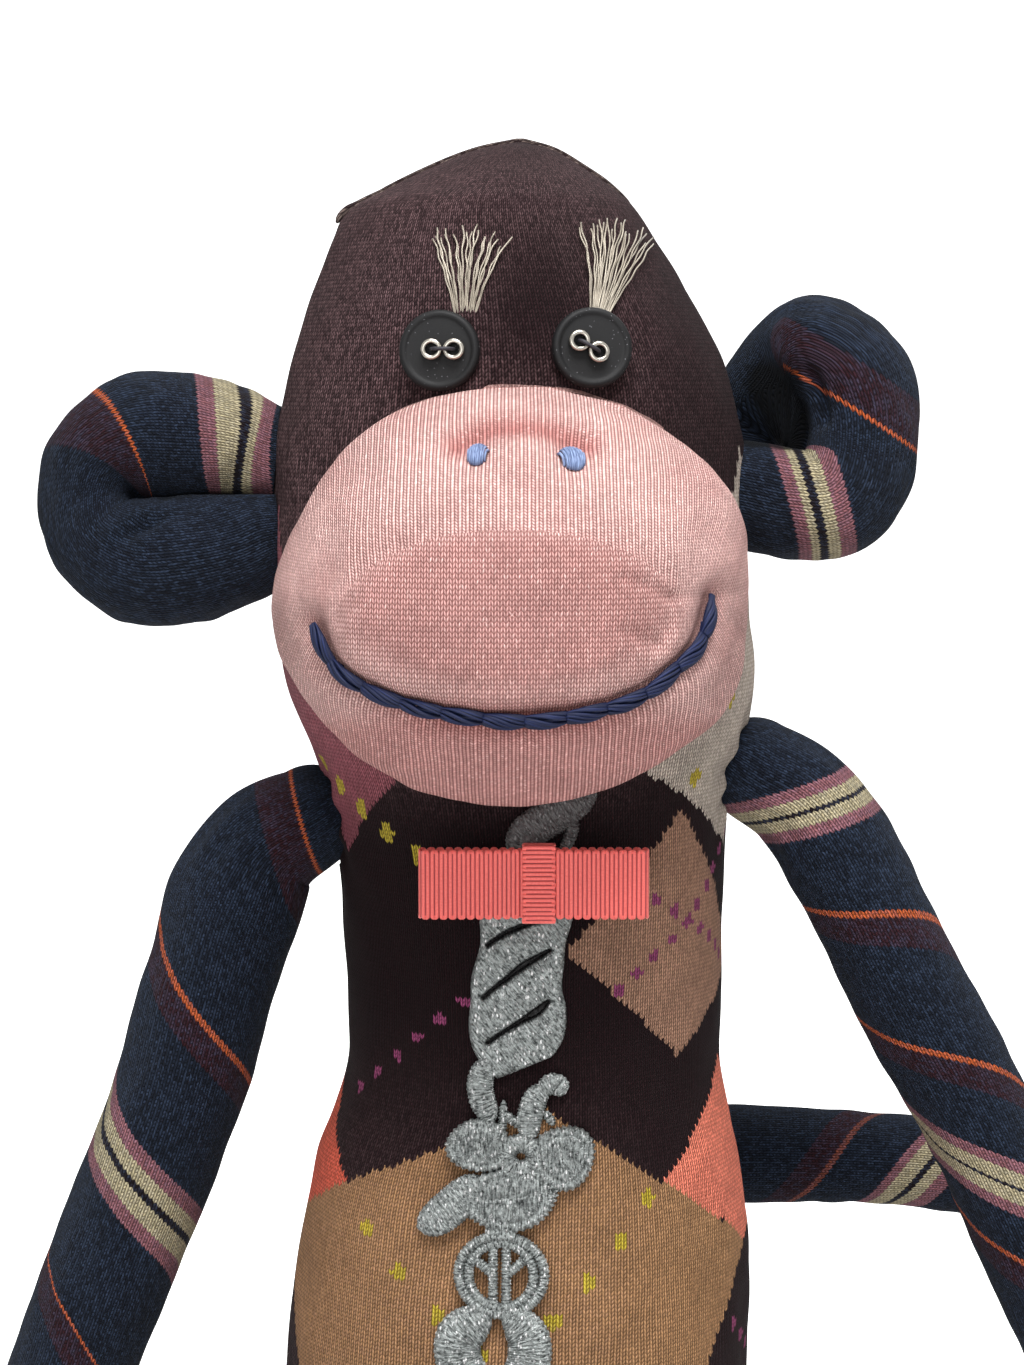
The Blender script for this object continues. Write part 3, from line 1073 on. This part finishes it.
def buildEyes():
    black = buttonMaterial("moldedUreaBlack")
    nickel = beadMaterial("nickelPlateTube")
    thread = flossMaterial("polyesterThreadBlack", "#17161a", "#35333a")
    r, h, rim, dish = button["radius"], button["thickness"], button["rim"], button["dish"]
    profile = [(0.2, 0), (r - 1, 0), (r - 0.35, 0.3), (r, 1.1), (r, h - 1.1), (r - 0.3, h - 0.35),
               (r - 0.9, h), (r - rim, h - 0.08), (r - rim - 0.7, h - dish), (r / 2, h - dish),
               (0.2, h - dish)]
    profile = curveThrough(profile, 90)
    foot = h - dish + gap
    top = foot + bead["length"]
    half = bead["spacing"] / 2
    angle = anglesRound(28)
    wall, tall = (bead["outer"] - bead["bore"]) / 2, bead["length"] / 2
    ring = np.stack([bead["bore"] + wall + wall * np.cos(angle),
                     foot + tall + tall * np.sign(np.sin(angle)) * np.abs(np.sin(angle)) ** 0.6], -1)
    for side, (x, z, turn) in eyeSpots.items():
        sideways = -1 if side == "right" else 1
        seat, normal = onFront(bodyDepth, x, z, gap + button["lift"])
        normal = unit(normal + (0, -button["pull"], 0))  # the thread pulls the button round to the front
        piece = skin(side + "_button", turned(profile, button["sides"], seat, normal), None, black)
        finishPiece(piece, "root", [side + "_eye_button"])
        seat = seat + axesOn(normal)[0] * sideways * bead["towardsNose"]
        for place, shift in (("inner", -sideways * half), ("outer", sideways * half)):
            points = turned(ring, bead["sides"], seat, normal, shift, turn)
            piece = skin(f"{side}_bead_{place}", points, None, nickel, rowsClose=True)
            finishPiece(piece, "root", [f"{side}_eye_bead_{place}"])
        across, upward = axesOn(normal, turn)
        path = [(-half, 0.4), (-half, foot), (-half, top - 0.6), (-half + 0.85, top + 0.5), (0, top + 0.7),
                (half - 0.85, top + 0.5), (half, top - 0.6), (half, foot), (half, 0.4)]
        line = curveThrough([seat + across * u + normal * v for u, v in path], 80)
        piece = skin(side + "_thread", sweep(line, eyeThread, eyeThread, upward, 12), None, thread)
        finishPiece(piece, "root", [side + "_eye_thread"])


print("stage: eyes")
buildEyes()


# Brows: tufts of rayon floss, cut off square. The eye sees separate silky silver-brown threads.
brows = {
    "right": {"foot": (-12.9, 313.2), "from": -22, "to": 29, "length": 21, "seed": 51},
    "left": {"foot": (18.2, 314.2), "from": -13, "to": 37, "length": 22.5, "seed": 52},
}
browFloss = {"strands": 22, "radius": 0.2, "spread": 4.5, "rows": 30, "sides": 6}


def buildBrows():
    material = flossMaterial("rayonFlossSilver", "#4b4238", "#c9bfae", metallic=0.15, roughness=0.35)
    own = np.linspace(0, 1, browFloss["rows"])
    for side, brow in brows.items():
        random = np.random.default_rng(brow["seed"])
        strands = []
        for k in range(browFloss["strands"]):
            share = k / (browFloss["strands"] - 1) + random.uniform(-0.03, 0.03)
            length = brow["length"] * random.uniform(0.86, 1.02)
            wave = random.uniform(-0.8, 0.8) * np.sin(own * random.uniform(2, 5)) * own
            wave += 0.25 * own * np.sin(own * random.uniform(14, 24) + random.uniform(0, fullTurn))
            spread = browFloss["spread"] * (share - 0.5) * (1 - own) ** 2
            upward, across = directionAt(brow["from"] + (brow["to"] - brow["from"]) * share)
            x = brow["foot"][0] + spread + length * own * across + wave
            z = brow["foot"][1] + length * own * upward
            lift = 0.4 + 1.6 * np.sin(own * math.pi * 0.75) * random.uniform(0.5, 1.1)
            place, normal = onFront(bodyDepth, x, z, lift)
            strands.append(strandSkin("strand", place, browFloss["radius"], normal, browFloss["sides"],
                                      np.arange(browFloss["rows"]) + 20.0 * k, material))
        piece = joinPieces(side + "_brow_floss", strands)
        finishPiece(piece, "root", [side + "_brow"])


print("stage: brows")
buildBrows()


# Lace: guipure of metallic silver thread in satin stitch. The eye sees packed threads that glitter, and
# beaded edges.
lace = {
    "stitch": 0.85,  # pitch of the threads, drawn twice as coarse as they are so that they show
    "ridge": 0.2, "wander": 0.9, "bead": 1.5, "perMm": 5.5, "sides": 20,
    # the rope between its left and right edge, from the bow down, and the slits between its turns
    "ropeLeft": [(-9.2, 178), (-9.6, 171.5), (-9.6, 165), (-11.6, 157), (-11.8, 151.6), (-12.3, 145),
                 (-11.4, 139.6), (-9, 135.6), (-5.5, 132.4)],
    "ropeRight": [(11.5, 180), (12.6, 173), (10.8, 165.5), (10.3, 159.6), (9.9, 154.6), (10.9, 149.4),
                  (10.7, 144), (9.4, 140.4), (7.6, 138)],
    # points of a slit as across, up and half width
    "slits": [
        [(-7.5, 165.2, 0.02), (-4.1, 167.8, 0.15), (0, 169.8, 0.2), (5, 171.8, 0.05)],
        [(-8.6, 152.2, 0.02), (-6, 154.7, 0.05), (-3.4, 156.8, 0.15), (1, 160.5, 0.4), (6.9, 164.1, 0.05)],
        [(-7.6, 141.2, 0.02), (-3.4, 144.3, 0.05), (1, 147.2, 0.25), (4, 149.1, 0.6), (6.6, 151.6, 0.05)],
    ],
    "ropeRise": 2.2, "slope": 38, "ropeBead": 1.3,
    # other cords and the heart's halves: line across and up, half width, half thickness, lift
    "bands": [
        ([(-1.8, 187.5), (1.5, 193), (7, 197), (12.5, 200.5), (17, 204)], 4.6, 1.8, 0),
        ([(9.5, 188), (11.5, 192), (12.5, 197)], 1.6, 1.2, 0),
        ([(-7.4, 137.5), (-9, 132.5), (-8.8, 128), (-6.4, 122)], 3.3, 1.6, 0.2),
        ([(2.2, 118), (2.2, 123), (3.6, 128), (6.2, 131)], 3.1, 1.6, 0.3),
        ([(4.6, 130), (8, 131.6), (10.6, 129.2)], 2.6, 1.4, 0.2),
        ([(8, 121.5), (5.6, 124.8)], 1.1, 0.9, 0),
        ([(-4.3, 118), (-4, 123), (-3.8, 127.4)], 1.1, 0.9, 0),
        ([(-4, 124.5), (-1.2, 122.2), (2, 120.6)], 1.2, 1, 0),
        ([(-23.8, 96), (-19, 99), (-13, 104.5), (-8.5, 108.5)], 4.6, 1.6, 0),
        ([(-8, 97), (-4.5, 95.8), (-1, 97)], 3, 1.4, 0),
        ([(-7, 77), (-11, 74.4), (-14.2, 71), (-14.4, 66), (-11.6, 60.5), (-7, 55.5)], 5.8, 1.8, 0),
        ([(-4, 77), (-0.8, 75), (1.8, 71.4), (2, 66), (-0.4, 60.5), (-5, 55.5)], 5.3, 1.8, 0),
    ],
    # closed cords: middle, half sizes, half width, half thickness
    "rings": [
        ((0.2, 114.1), (3.3, 3.1), 2.3, 1.7),
        ((-4.4, 86.1), (10, 9.2), 1.25, 1.4),
        ((-4.5, 86), (7.6, 7.6), 1.2, 1.2),
    ],
    # pads of the flower: middle, half sizes, turn in degrees, half thickness
    "pads": [
        ((-9.4, 116.2), (7.7, 6.3), 6, 1.8),
        ((10, 113.8), (7.4, 7.6), -15, 1.9),
        ((-2.4, 104.2), (11.6, 7.6), 10, 1.7),
    ],
    # bars across the ring: start and end
    "bars": [((-6.4, 93.5), (-6.4, 78.5)), ((-3.3, 93.5), (-3.3, 78.5)), ((-6.2, 86), (-12.2, 91)),
             ((-3.4, 86), (2.8, 91.4))],
    "barSize": (1.15, 1.1),  # half width and half thickness
}


def laceMaterial(name):
    material, tree = newTree(name)
    cloth = addNode(tree, "UVMap", uv_map="cloth")
    place = placeInMm(tree)
    # threads: noise drawn out along them, which is the map's first direction
    drawn = addNode(tree, "VectorMath", {0: cloth, 1: (0.45, 2.3, 1)}, operation="MULTIPLY")
    threads = addNode(tree, "TexNoise", {"Vector": drawn, "Scale": 1.0, "Detail": 3.0, "Roughness": 0.65,
                                         "Distortion": 0.3})
    facets = addNode(tree, "TexVoronoi", {"Vector": place, "Scale": 2.1, "Randomness": 1.0})
    facetTone = addNode(tree, "SeparateXYZ", {0: facets.outputs["Color"]}).outputs["X"]
    # sparks: tall cells, some of which are picked
    upright = addNode(tree, "VectorMath", {0: place, 1: (1.15, 1.15, 0.55)}, operation="MULTIPLY")
    glints = addNode(tree, "TexVoronoi", {"Vector": upright, "Scale": 1.0, "Randomness": 0.8})
    fromGlint = glints.outputs["Distance"]
    isNear = addNode(tree, "MapRange", {"Value": fromGlint, "From Min": 0.4, "From Max": 0.22})
    glintTone = addNode(tree, "SeparateXYZ", {0: glints.outputs["Color"]}).outputs["Y"]
    isPicked = addNode(tree, "MapRange", {"Value": glintTone, "From Min": 0.4, "From Max": 0.8})
    isSpark = addNode(tree, "Math", {0: isNear, 1: isPicked}, operation="MULTIPLY")
    mixed = addNode(tree, "Math", {0: facetTone, 1: 0.22, 2: threads}, operation="MULTIPLY_ADD")
    tone = addNode(tree, "MapRange", {"Value": mixed, "From Min": 0.42, "From Max": 0.8})
    grey = addNode(tree, "ValToRGB", {0: tone})
    grey.color_ramp.elements[0].color = linear("#1d2221")
    grey.color_ramp.elements[1].color = linear("#b4bab8")
    bright = addNode(tree, "Mix", {0: isSpark, 6: grey.outputs[0], 7: linear("#ffffff")}, data_type="RGBA")
    # the lace is dyed dark plum above the bow, and dark down in the slits
    rise = addNode(tree, "SeparateXYZ", {0: place}).outputs["Z"]
    isDyed = addNode(tree, "MapRange", {"Value": rise, "From Min": 186.0, "From Max": 192.0, "To Max": 0.78})
    dyed = addNode(tree, "Mix", {0: isDyed, 6: bright.outputs[2], 7: linear("#2c1a1d")}, data_type="RGBA")
    slit = layerValue(tree, "shade")
    shaded = addNode(tree, "Mix", {0: slit, 6: dyed.outputs[2], 7: linear("#0c0a0b")}, data_type="RGBA")
    raised = addNode(tree, "Math", {0: isSpark, 1: 0.5, 2: threads}, operation="MULTIPLY_ADD")
    jewel = addNode(tree, "Math", {0: facetTone, 1: 0.2, 2: raised}, operation="MULTIPLY_ADD")
    bump = addNode(tree, "Bump", {"Height": jewel, "Strength": 1.0, "Distance": 0.8 * mm})
    rough = addNode(tree, "MapRange", {"Value": facetTone, "To Min": 0.5, "To Max": 0.2})
    finishTree(tree, {"Base Color": shaded.outputs[2], "Metallic": 0.3, "Roughness": rough, "Normal": bump})
    return material


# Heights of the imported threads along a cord, from -1 to 1, with the small unevenness of stitching.
def threadRidges(run, seed):
    uneven = lace["wander"] * (np.sin(run * 1.9 + seed) + 0.6 * np.sin(run * 3.7 + 2 * seed))
    return np.cos(run * fullTurn / lace["stitch"] + uneven)


# A cord or pad of satin stitch through places across and up the front.
def satinBand(places, halfWidth, halfDepth, lift, material, seed, closed=False, blunt=3):
    length = runAlong(curveThrough(places, 60, closed))[-1]
    flat = curveThrough(places, max(24, int(length * lace["perMm"])), closed)
    run = np.linspace(0, length, len(flat))
    ridges = 0.8 * lace["ridge"] * threadRidges(run, seed)
    swell = 1.0
    if not closed:
        swell = np.sqrt(np.clip(1 - np.abs(2 * run / length - 1) ** blunt, 0.02, None))
    place, normal = onFront(bodyDepth, flat[:, 0], flat[:, 1], halfDepth + gap + lift)
    wide = halfWidth * swell + ridges
    deep = halfDepth * (0.35 + 0.65 * swell) + ridges
    points = sweep(place, wide, deep, normal, lace["sides"], closed)
    around = np.linspace(-3, 3, lace["sides"] + 1) * halfWidth
    uv = gridMap(around, np.append(run, length) + 40 * seed)
    return skin("band", points, uv, material, rowsClose=closed)


# A domed petal: threads fan out from its middle, and beads stand round its rim.
def satinPad(middle, half, turn, halfDepth, material, seed):
    share = np.sin(np.linspace(0.02, 1, 34) * math.pi / 2)[:, None]
    angle = anglesRound(150)
    beads = round(math.pi * (half[0] + half[1]) / lace["bead"])
    edge = 1 + 0.035 * np.cos(beads * angle) + 0.05 * np.cos(3 * angle + seed)
    x = half[0] * share * edge * np.cos(angle)
    z = half[1] * share * edge * np.sin(angle)
    cosine, sine = directionAt(turn)
    x, z = middle[0] + x * cosine - z * sine, middle[1] + x * sine + z * cosine
    dome = np.sqrt(np.clip(1 - share ** 6, 0, 1))
    inner = smoothStep(share, 0.1, 0.25) * (1 - smoothStep(share, 0.66, 0.8))
    rise = halfDepth * (1 + dome) - 0.45 * bell(share - 0.72, 0.06)
    rise = rise + bell(share - 0.88, 0.09) * (0.15 + 0.25 * np.cos(beads * angle))
    rise += 0.22 * inner * np.cos(2 * beads * angle + 1.5 * np.sin(2 * angle + seed))
    rise -= 0.5 * bell(share, 0.16)
    upper = onFront(bodyDepth, x, z, np.maximum(rise, 0.1) + gap)[0]
    lower = onFront(bodyDepth, x[::-1], z[::-1], np.full(x.shape, gap))[0]
    points = np.concatenate([upper, lower])
    uv = np.stack([np.concatenate([z, z[::-1]]), np.concatenate([x, x[::-1]])], -1)  # threads run up and down
    uv = np.concatenate([uv, uv[:, :1]], 1)
    return skin("pad", points, uv, material)


# The rope: one sheet between its two edges, raised everywhere but along its rim and its slits. Its threads
# run across the turns. Their heights are cosines of the distance along the turns.
def satinRope(material):
    rows, columns, under = 210, 100, 10
    left = curveThrough(lace["ropeLeft"], rows)[:, None]
    right = curveThrough(lace["ropeRight"], rows)[:, None]
    across = np.linspace(0, 1, columns)
    flat = left * (1 - across[:, None]) + right * across[:, None]
    fromEnd = 47 * (1 - np.arange(rows) / rows)[:, None]  # both in mm
    rim = np.minimum(np.minimum(across, 1 - across) * 20, fromEnd)
    depth = np.ones(flat.shape[:2])
    for slit in lace["slits"]:
        fine = curveThrough(slit, 60)
        offset = np.linalg.norm(flat[:, :, None] - fine[None, None, :, :2], axis=-1) - fine[:, 2]
        away = np.clip(offset.min(-1), 0, None)
        depth = np.minimum(depth, 1 - 0.55 * bell(away, 0.6) - 0.45 * bell(away, 2.4))
    cosine, sine = directionAt(lace["slope"])
    run = flat @ (cosine, sine)
    rise = lace["ropeRise"] * np.sqrt((1 - bell(np.clip(rim, 0.02, None), 0.8)) * np.clip(depth, 0, 1))
    border = bell(rim - 0.9, 0.6)
    beads = np.cos(flat[..., 1] * fullTurn / lace["ropeBead"] + 0.8 * np.sin(flat[..., 1]))
    rise = rise * (1 + 0.06 * threadRidges(run, 1.0) * (1 - border) + 0.08 * beads * border)
    upper = onFront(bodyDepth, flat[..., 0], flat[..., 1], rise + gap)[0]
    share = np.linspace(1, 0, under)[:, None]
    below = left * (1 - share) + right * share
    lower = onFront(bodyDepth, below[..., 0], below[..., 1], gap * 0.8)[0]
    threads = np.stack([flat @ (-sine, cosine), run], -1)
    uv = np.concatenate([threads, np.repeat(threads[:, -1:], under + 1, 1)], 1)
    piece = skin("rope", np.concatenate([upper, lower], 1), uv, material)
    shade = np.clip(1.6 - 3 * np.concatenate([depth, np.ones((rows, under))], 1), 0, 1)
    addLayer(piece.data, "shade", np.append(shade.ravel(), [0, 0]))
    return piece


def buildLace():
    material = laceMaterial("guipureMetallicSilver")
    parts = [satinRope(material)]
    for seed, (places, halfWidth, halfDepth, lift) in enumerate(lace["bands"]):
        parts.append(satinBand(places, halfWidth, halfDepth, lift, material, seed))
    angle = anglesRound(28)
    for seed, (middle, half, halfWidth, halfDepth) in enumerate(lace["rings"], 20):
        ring = np.stack([middle[0] + half[0] * np.cos(angle), middle[1] + half[1] * np.sin(angle)], -1)
        parts.append(satinBand(ring, halfWidth, halfDepth, 0, material, seed, closed=True))
    for seed, ends in enumerate(lace["bars"], 30):
        places = [ends[0], np.mean(ends, axis=0), ends[1]]
        parts.append(satinBand(places, *lace["barSize"], 0, material, seed, blunt=12))
    for seed, (middle, half, turn, halfDepth) in enumerate(lace["pads"], 40):
        parts.append(satinPad(middle, half, turn, halfDepth, material, seed))
    piece = joinPieces("lace_stitches", parts)
    finishPiece(piece, "root", ["lace_trim"])


print("stage: lace")
buildLace()


# Bow: polyester grosgrain in coral. The eye sees close upright ribs, a scalloped edge and a soft shine.
bow = {"height": 181.4, "shift": 3.1, "width": 53.8, "depth": 3.6, "ribbon": 16.6, "thickness": 0.5,
       "rib": 1.06, "ribRise": 0.34, "scallop": 0.8, "band": 8, "bandShift": 1.2,
       "lean": 1.9}  # the rope's ribs hold it this far off the rope's mean height


def ribbonMaterial(name):
    material, tree = newTree(name)
    place = addNode(tree, "UVMap", uv_map="cloth")
    weave = addNode(tree, "VectorMath", {0: place, 1: (2.6, 0.9, 1)}, operation="MULTIPLY")
    fibres = addNode(tree, "TexNoise", {"Vector": weave, "Scale": 1.0, "Detail": 3.0})
    parts = addNode(tree, "SeparateXYZ", {0: place})
    fromGap = addNode(tree, "Math", {0: parts.outputs["Y"], 1: 0.5}, operation="PINGPONG")
    fromPair = addNode(tree, "Math", {0: parts.outputs["Y"], 1: 1.0}, operation="PINGPONG")
    isOdd = addNode(tree, "Math", {0: fromPair, 1: 0.5}, operation="GREATER_THAN")
    isEnd = addNode(tree, "Math", {0: parts.outputs["X"], 1: 1.0}, operation="LESS_THAN")
    # two ribs join round their end
    isLoop = addNode(tree, "Math", {0: isOdd, 1: isEnd}, operation="MULTIPLY")
    plain = addNode(tree, "MapRange", {"Value": fromGap, "From Min": 0.04, "From Max": 0.22})
    lit = addNode(tree, "Math", {0: plain, 1: isLoop}, operation="MAXIMUM")
    tone = addNode(tree, "Mix", {0: fibres, 6: linear("#dc4f4b"), 7: linear("#f3776e")}, data_type="RGBA")
    colour = addNode(tree, "Mix", {0: lit, 6: linear("#821f27"), 7: tone.outputs[2]}, data_type="RGBA")
    bump = addNode(tree, "Bump", {"Height": fibres, "Strength": 0.4, "Distance": 0.12 * mm})
    finishTree(tree, {"Base Color": colour.outputs[2], "Roughness": 0.5, "Normal": bump, "Sheen Weight": 0.25,
                      "Sheen Roughness": 0.4})
    return material


# A ribbon along a closed path, and its length: ribs run across it, and each rib ends in a small scallop. Its
# map holds mm from the nearer edge, and ribs along.
def ribbonSkin(name, path, acrossWay, width, material):
    normals = np.cross(tangentOf(path, closed=True), acrossWay)
    if np.sum(normals * (path - path.mean(0))) < 0:
        normals = -normals
    run = runAlong(path)
    total = run[-1] * len(path) / (len(path) - 1)
    ribs = 2 * round(total / bow["rib"] / 2)
    count = run / total * ribs
    rise = bow["ribRise"] * np.abs(np.sin(count * math.pi)) ** 0.6
    half = width / 2 - bow["scallop"] + bow["scallop"] * np.abs(np.sin(count * math.pi / 2)) ** 0.5
    across = np.linspace(-1, 1, 19)
    outer = path[:, None] + acrossWay * (half[:, None] * across)[..., None]
    outer = outer + normals[:, None] * rise[:, None, None]
    inner = outer - normals[:, None] * (bow["thickness"] - 0.16)
    fromEdge = (1 - np.abs(across)) * width / 2
    uv = gridMap(np.concatenate([fromEdge, fromEdge, fromEdge[:1]]), np.append(count, ribs))
    points = np.concatenate([outer, inner[:, ::-1]], 1)
    return skin(name, points, uv, material, rowsClose=True), total


def buildBow():
    material = ribbonMaterial("polyesterGrosgrainCoral")
    half, depth, band = bow["width"] / 2, bow["depth"] / 2, bow["band"] / 2
    front = float(bodyDepth(bow["shift"], bow["height"])) + lace["ropeRise"] + bow["lean"]
    middle = np.array([bow["shift"], -front - gap - bow["thickness"] - depth, bow["height"]])
    plan = [(-band * 0.5, 0.6), (-band * 2, 0.85 * depth), (-half * 0.6, depth), (-half + 2, depth),
            (-half + 0.35, depth * 0.5)]
    plan = plan + [(x, -y) for x, y in plan[::-1]]
    flat = curveThrough(plan + [(-x, -y) for x, y in plan], 1100, closed=True)
    path = middle + np.stack([flat[:, 0], flat[:, 1], 0 * flat[:, 0]], -1)
    upward, sideways = np.eye(3)[2], np.eye(3)[0]
    loops, loopLength = ribbonSkin("bow_loops", path, upward, bow["ribbon"], material)
    finishPiece(loops, "root", ["bow_ribbon"])
    high = bow["ribbon"] / 2 + gap + 0.3
    deep = 0.6 + gap + 0.5
    ring = [(deep * 0.6, high), (deep, high - 0.7), (deep, 0), (deep, -high + 0.7), (deep * 0.6, -high)]
    flat = curveThrough(ring + [(-y, -z) for y, z in ring], 360, closed=True)
    path = middle + np.stack([0 * flat[:, 0] + bow["bandShift"], flat[:, 0], flat[:, 1]], -1)
    band = ribbonSkin("bow_middle", path, sideways, bow["band"], material)[0]
    finishPiece(band, "root", ["bow_band"])


print("stage: bow")
buildBow()


# Seams: the ridge over the crown and the ladder stitches up the back
seams = {
    "ridgeFrom": -43.6, "ridgeTo": 27, "ridge": 0.75, "corner": 1.2, "rows": 160, "sides": 18,
    "rungs": 9, "rungHalf": 2.4, "ladderFrom": 26, "ladderTo": 62, "thread": 0.4,
}


# The head's outline over the crown as (distance across, height) on one side, for looking up the height.
def crownOutline(crown, side):
    across = side * (crown[:, 1] + side * crown[:, 2])
    order = np.argsort(across)
    return across[order], crown[order, 0]


def buildSeams():
    cloth = {**stripedCloth, "fleckColour": "#8f8078", "sheenColour": "#c8b4b4"}
    plain = stripedKnit("cottonPlumKnit", cloth, [(-1e3, "plum"), (0, "plum"), (1, "plum")])
    start, rows, sides = seams["ridgeFrom"], seams["rows"], seams["sides"]
    x = np.linspace(start, seams["ridgeTo"], rows)
    crown = bodyFine[bodyFine[:, 0] > 290]
    rise = np.array([np.interp(abs(value), *crownOutline(crown, -1 if value < 0 else 1)) for value in x])
    share = np.linspace(0, 1, rows)
    ends = np.sqrt(np.clip(np.minimum(share * 28, (1 - share) * 10), 0.02, 1))
    size = (seams["ridge"] + seams["corner"] * bell(x - start - 0.6, 2.2)) * ends
    line = np.stack([x - 1.6 * bell(x - start, 2), 0 * x, rise + 0.2 * ends], -1)
    points = sweep(line, size * 1.4, size, (0, 0, 1), sides)
    piece = skin("toe_seam_ridge", points, gridMap(np.arange(sides + 1) * 0.35, x), plain)
    finishPiece(piece, "root", ["toe_seam"])
    thread = flossMaterial("polyesterThreadPlum", "#241c20", "#4a3e44")
    steps = np.arange(2 * seams["rungs"] + 1)
    side = np.where((steps + 1) // 2 % 2, seams["rungHalf"], -seams["rungHalf"])
    z = seams["ladderFrom"] + (seams["ladderTo"] - seams["ladderFrom"]) * steps / steps[-1]
    line = curveThrough(np.stack([side, bodyDepth(side, z) + seams["thread"] + gap, z], -1), 240)
    points = sweep(line, seams["thread"], seams["thread"], (0, 1, 0), 8)
    piece = skin("closing_thread", points, None, thread)
    finishPiece(piece, "root", ["closing_stitches"])


print("stage: seams")
buildSeams()

for knot in ("right_shoulder_knot", "left_shoulder_knot"):  # these CAD solids stay and get their thread
    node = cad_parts[knot]
    material = flossMaterial("cottonThread_" + knot, "#241c20", "#4a3e44")
    if not node.material_slots:
        node.data.materials.append(material)
    for place in node.material_slots:
        place.material = material


# Stage: a white floor that curves up behind, a soft sky and three soft lamps
print("stage: studio")
studio = {
    "sky": 0.16, "bounce": 0.9, "floorHalf": 3.0, "floorDrop": 0.0005,
    "floor": [(-3.0, 0), (0, 0), (1.6, 0), (2.2, 0.25), (2.4, 0.9), (2.4, 2.2)],  # back and up
    # name, place, aim, size and power
    "lamps": [
        ("key", (0.08, -0.66, 1.32), (0, -0.02, 0.22), 0.7, 30),
        ("front", (-0.2, -1.5, 0.15), (0, 0, 0.15), 1.0, 11),
        ("back", (0.3, 0.75, 1.15), (0, 0, 0.24), 0.8, 6),
    ],
}


# The camera sees the floor as plain white. Everything else gets soft light back from it.
def paperMaterial(name):
    material, tree = newTree(name)
    ray = addNode(tree, "LightPath")
    bounce = studio["bounce"]
    paper = addNode(tree, "BsdfDiffuse", {"Color": (0.9, 0.9, 0.9, 1)})
    dull = addNode(tree, "BsdfDiffuse", {"Color": (bounce, bounce, bounce, 1)})
    glow = addNode(tree, "Emission", {"Color": (1, 1, 1, 1), "Strength": 1.0})
    lit = addNode(tree, "AddShader", {0: paper, 1: glow})
    seen = addNode(tree, "MixShader", {0: ray.outputs["Is Camera Ray"], 1: dull, 2: lit})
    addNode(tree, "OutputMaterial", {"Surface": seen})
    return material


def buildStudio():
    profile = curveThrough(studio["floor"], 60)
    half, drop = studio["floorHalf"], studio["floorDrop"]
    vertices = [(x, y, z - drop) for y, z in profile for x in (-half, half)]
    faces = [(2 * k, 2 * k + 1, 2 * k + 3, 2 * k + 2) for k in range(len(profile) - 1)]
    mesh = bpy.data.meshes.new("floor")
    mesh.from_pydata(vertices, [], faces)
    mesh.shade_smooth()
    mesh.materials.append(paperMaterial("whitePaperSweep"))
    floor = bpy.data.objects.new("floor", mesh)
    bpy.context.scene.collection.objects.link(floor)

    world = bpy.data.worlds.new("studio")
    bpy.context.scene.world = world
    world.use_nodes = True
    tree = world.node_tree
    tree.nodes.clear()
    ray = addNode(tree, "LightPath")
    shows = ray.outputs["Is Camera Ray"]
    for other in ("Is Glossy Ray", "Is Transmission Ray"):
        shows = addNode(tree, "Math", {0: shows, 1: ray.outputs[other]}, operation="MAXIMUM")
    strength = addNode(tree, "MapRange", {"Value": shows, "To Min": studio["sky"], "To Max": 1.0})
    sky = addNode(tree, "Background", {"Color": (1, 1, 1, 1), "Strength": strength})
    addNode(tree, "OutputWorld", {"Surface": sky})

    for name, place, aim, size, power in studio["lamps"]:
        data = bpy.data.lights.new(name, "AREA")
        data.shape = "SQUARE"
        data.size = size
        data.energy = power
        lamp = bpy.data.objects.new(name, data)
        bpy.context.scene.collection.objects.link(lamp)
        lamp.location = place
        away = np.subtract(place, aim)
        flat = math.hypot(away[0], away[1])
        lamp.rotation_euler = (math.atan2(flat, away[2]), 0, math.atan2(away[0], -away[1]))


buildStudio()
bpy.context.scene.view_settings.view_transform = "Standard"
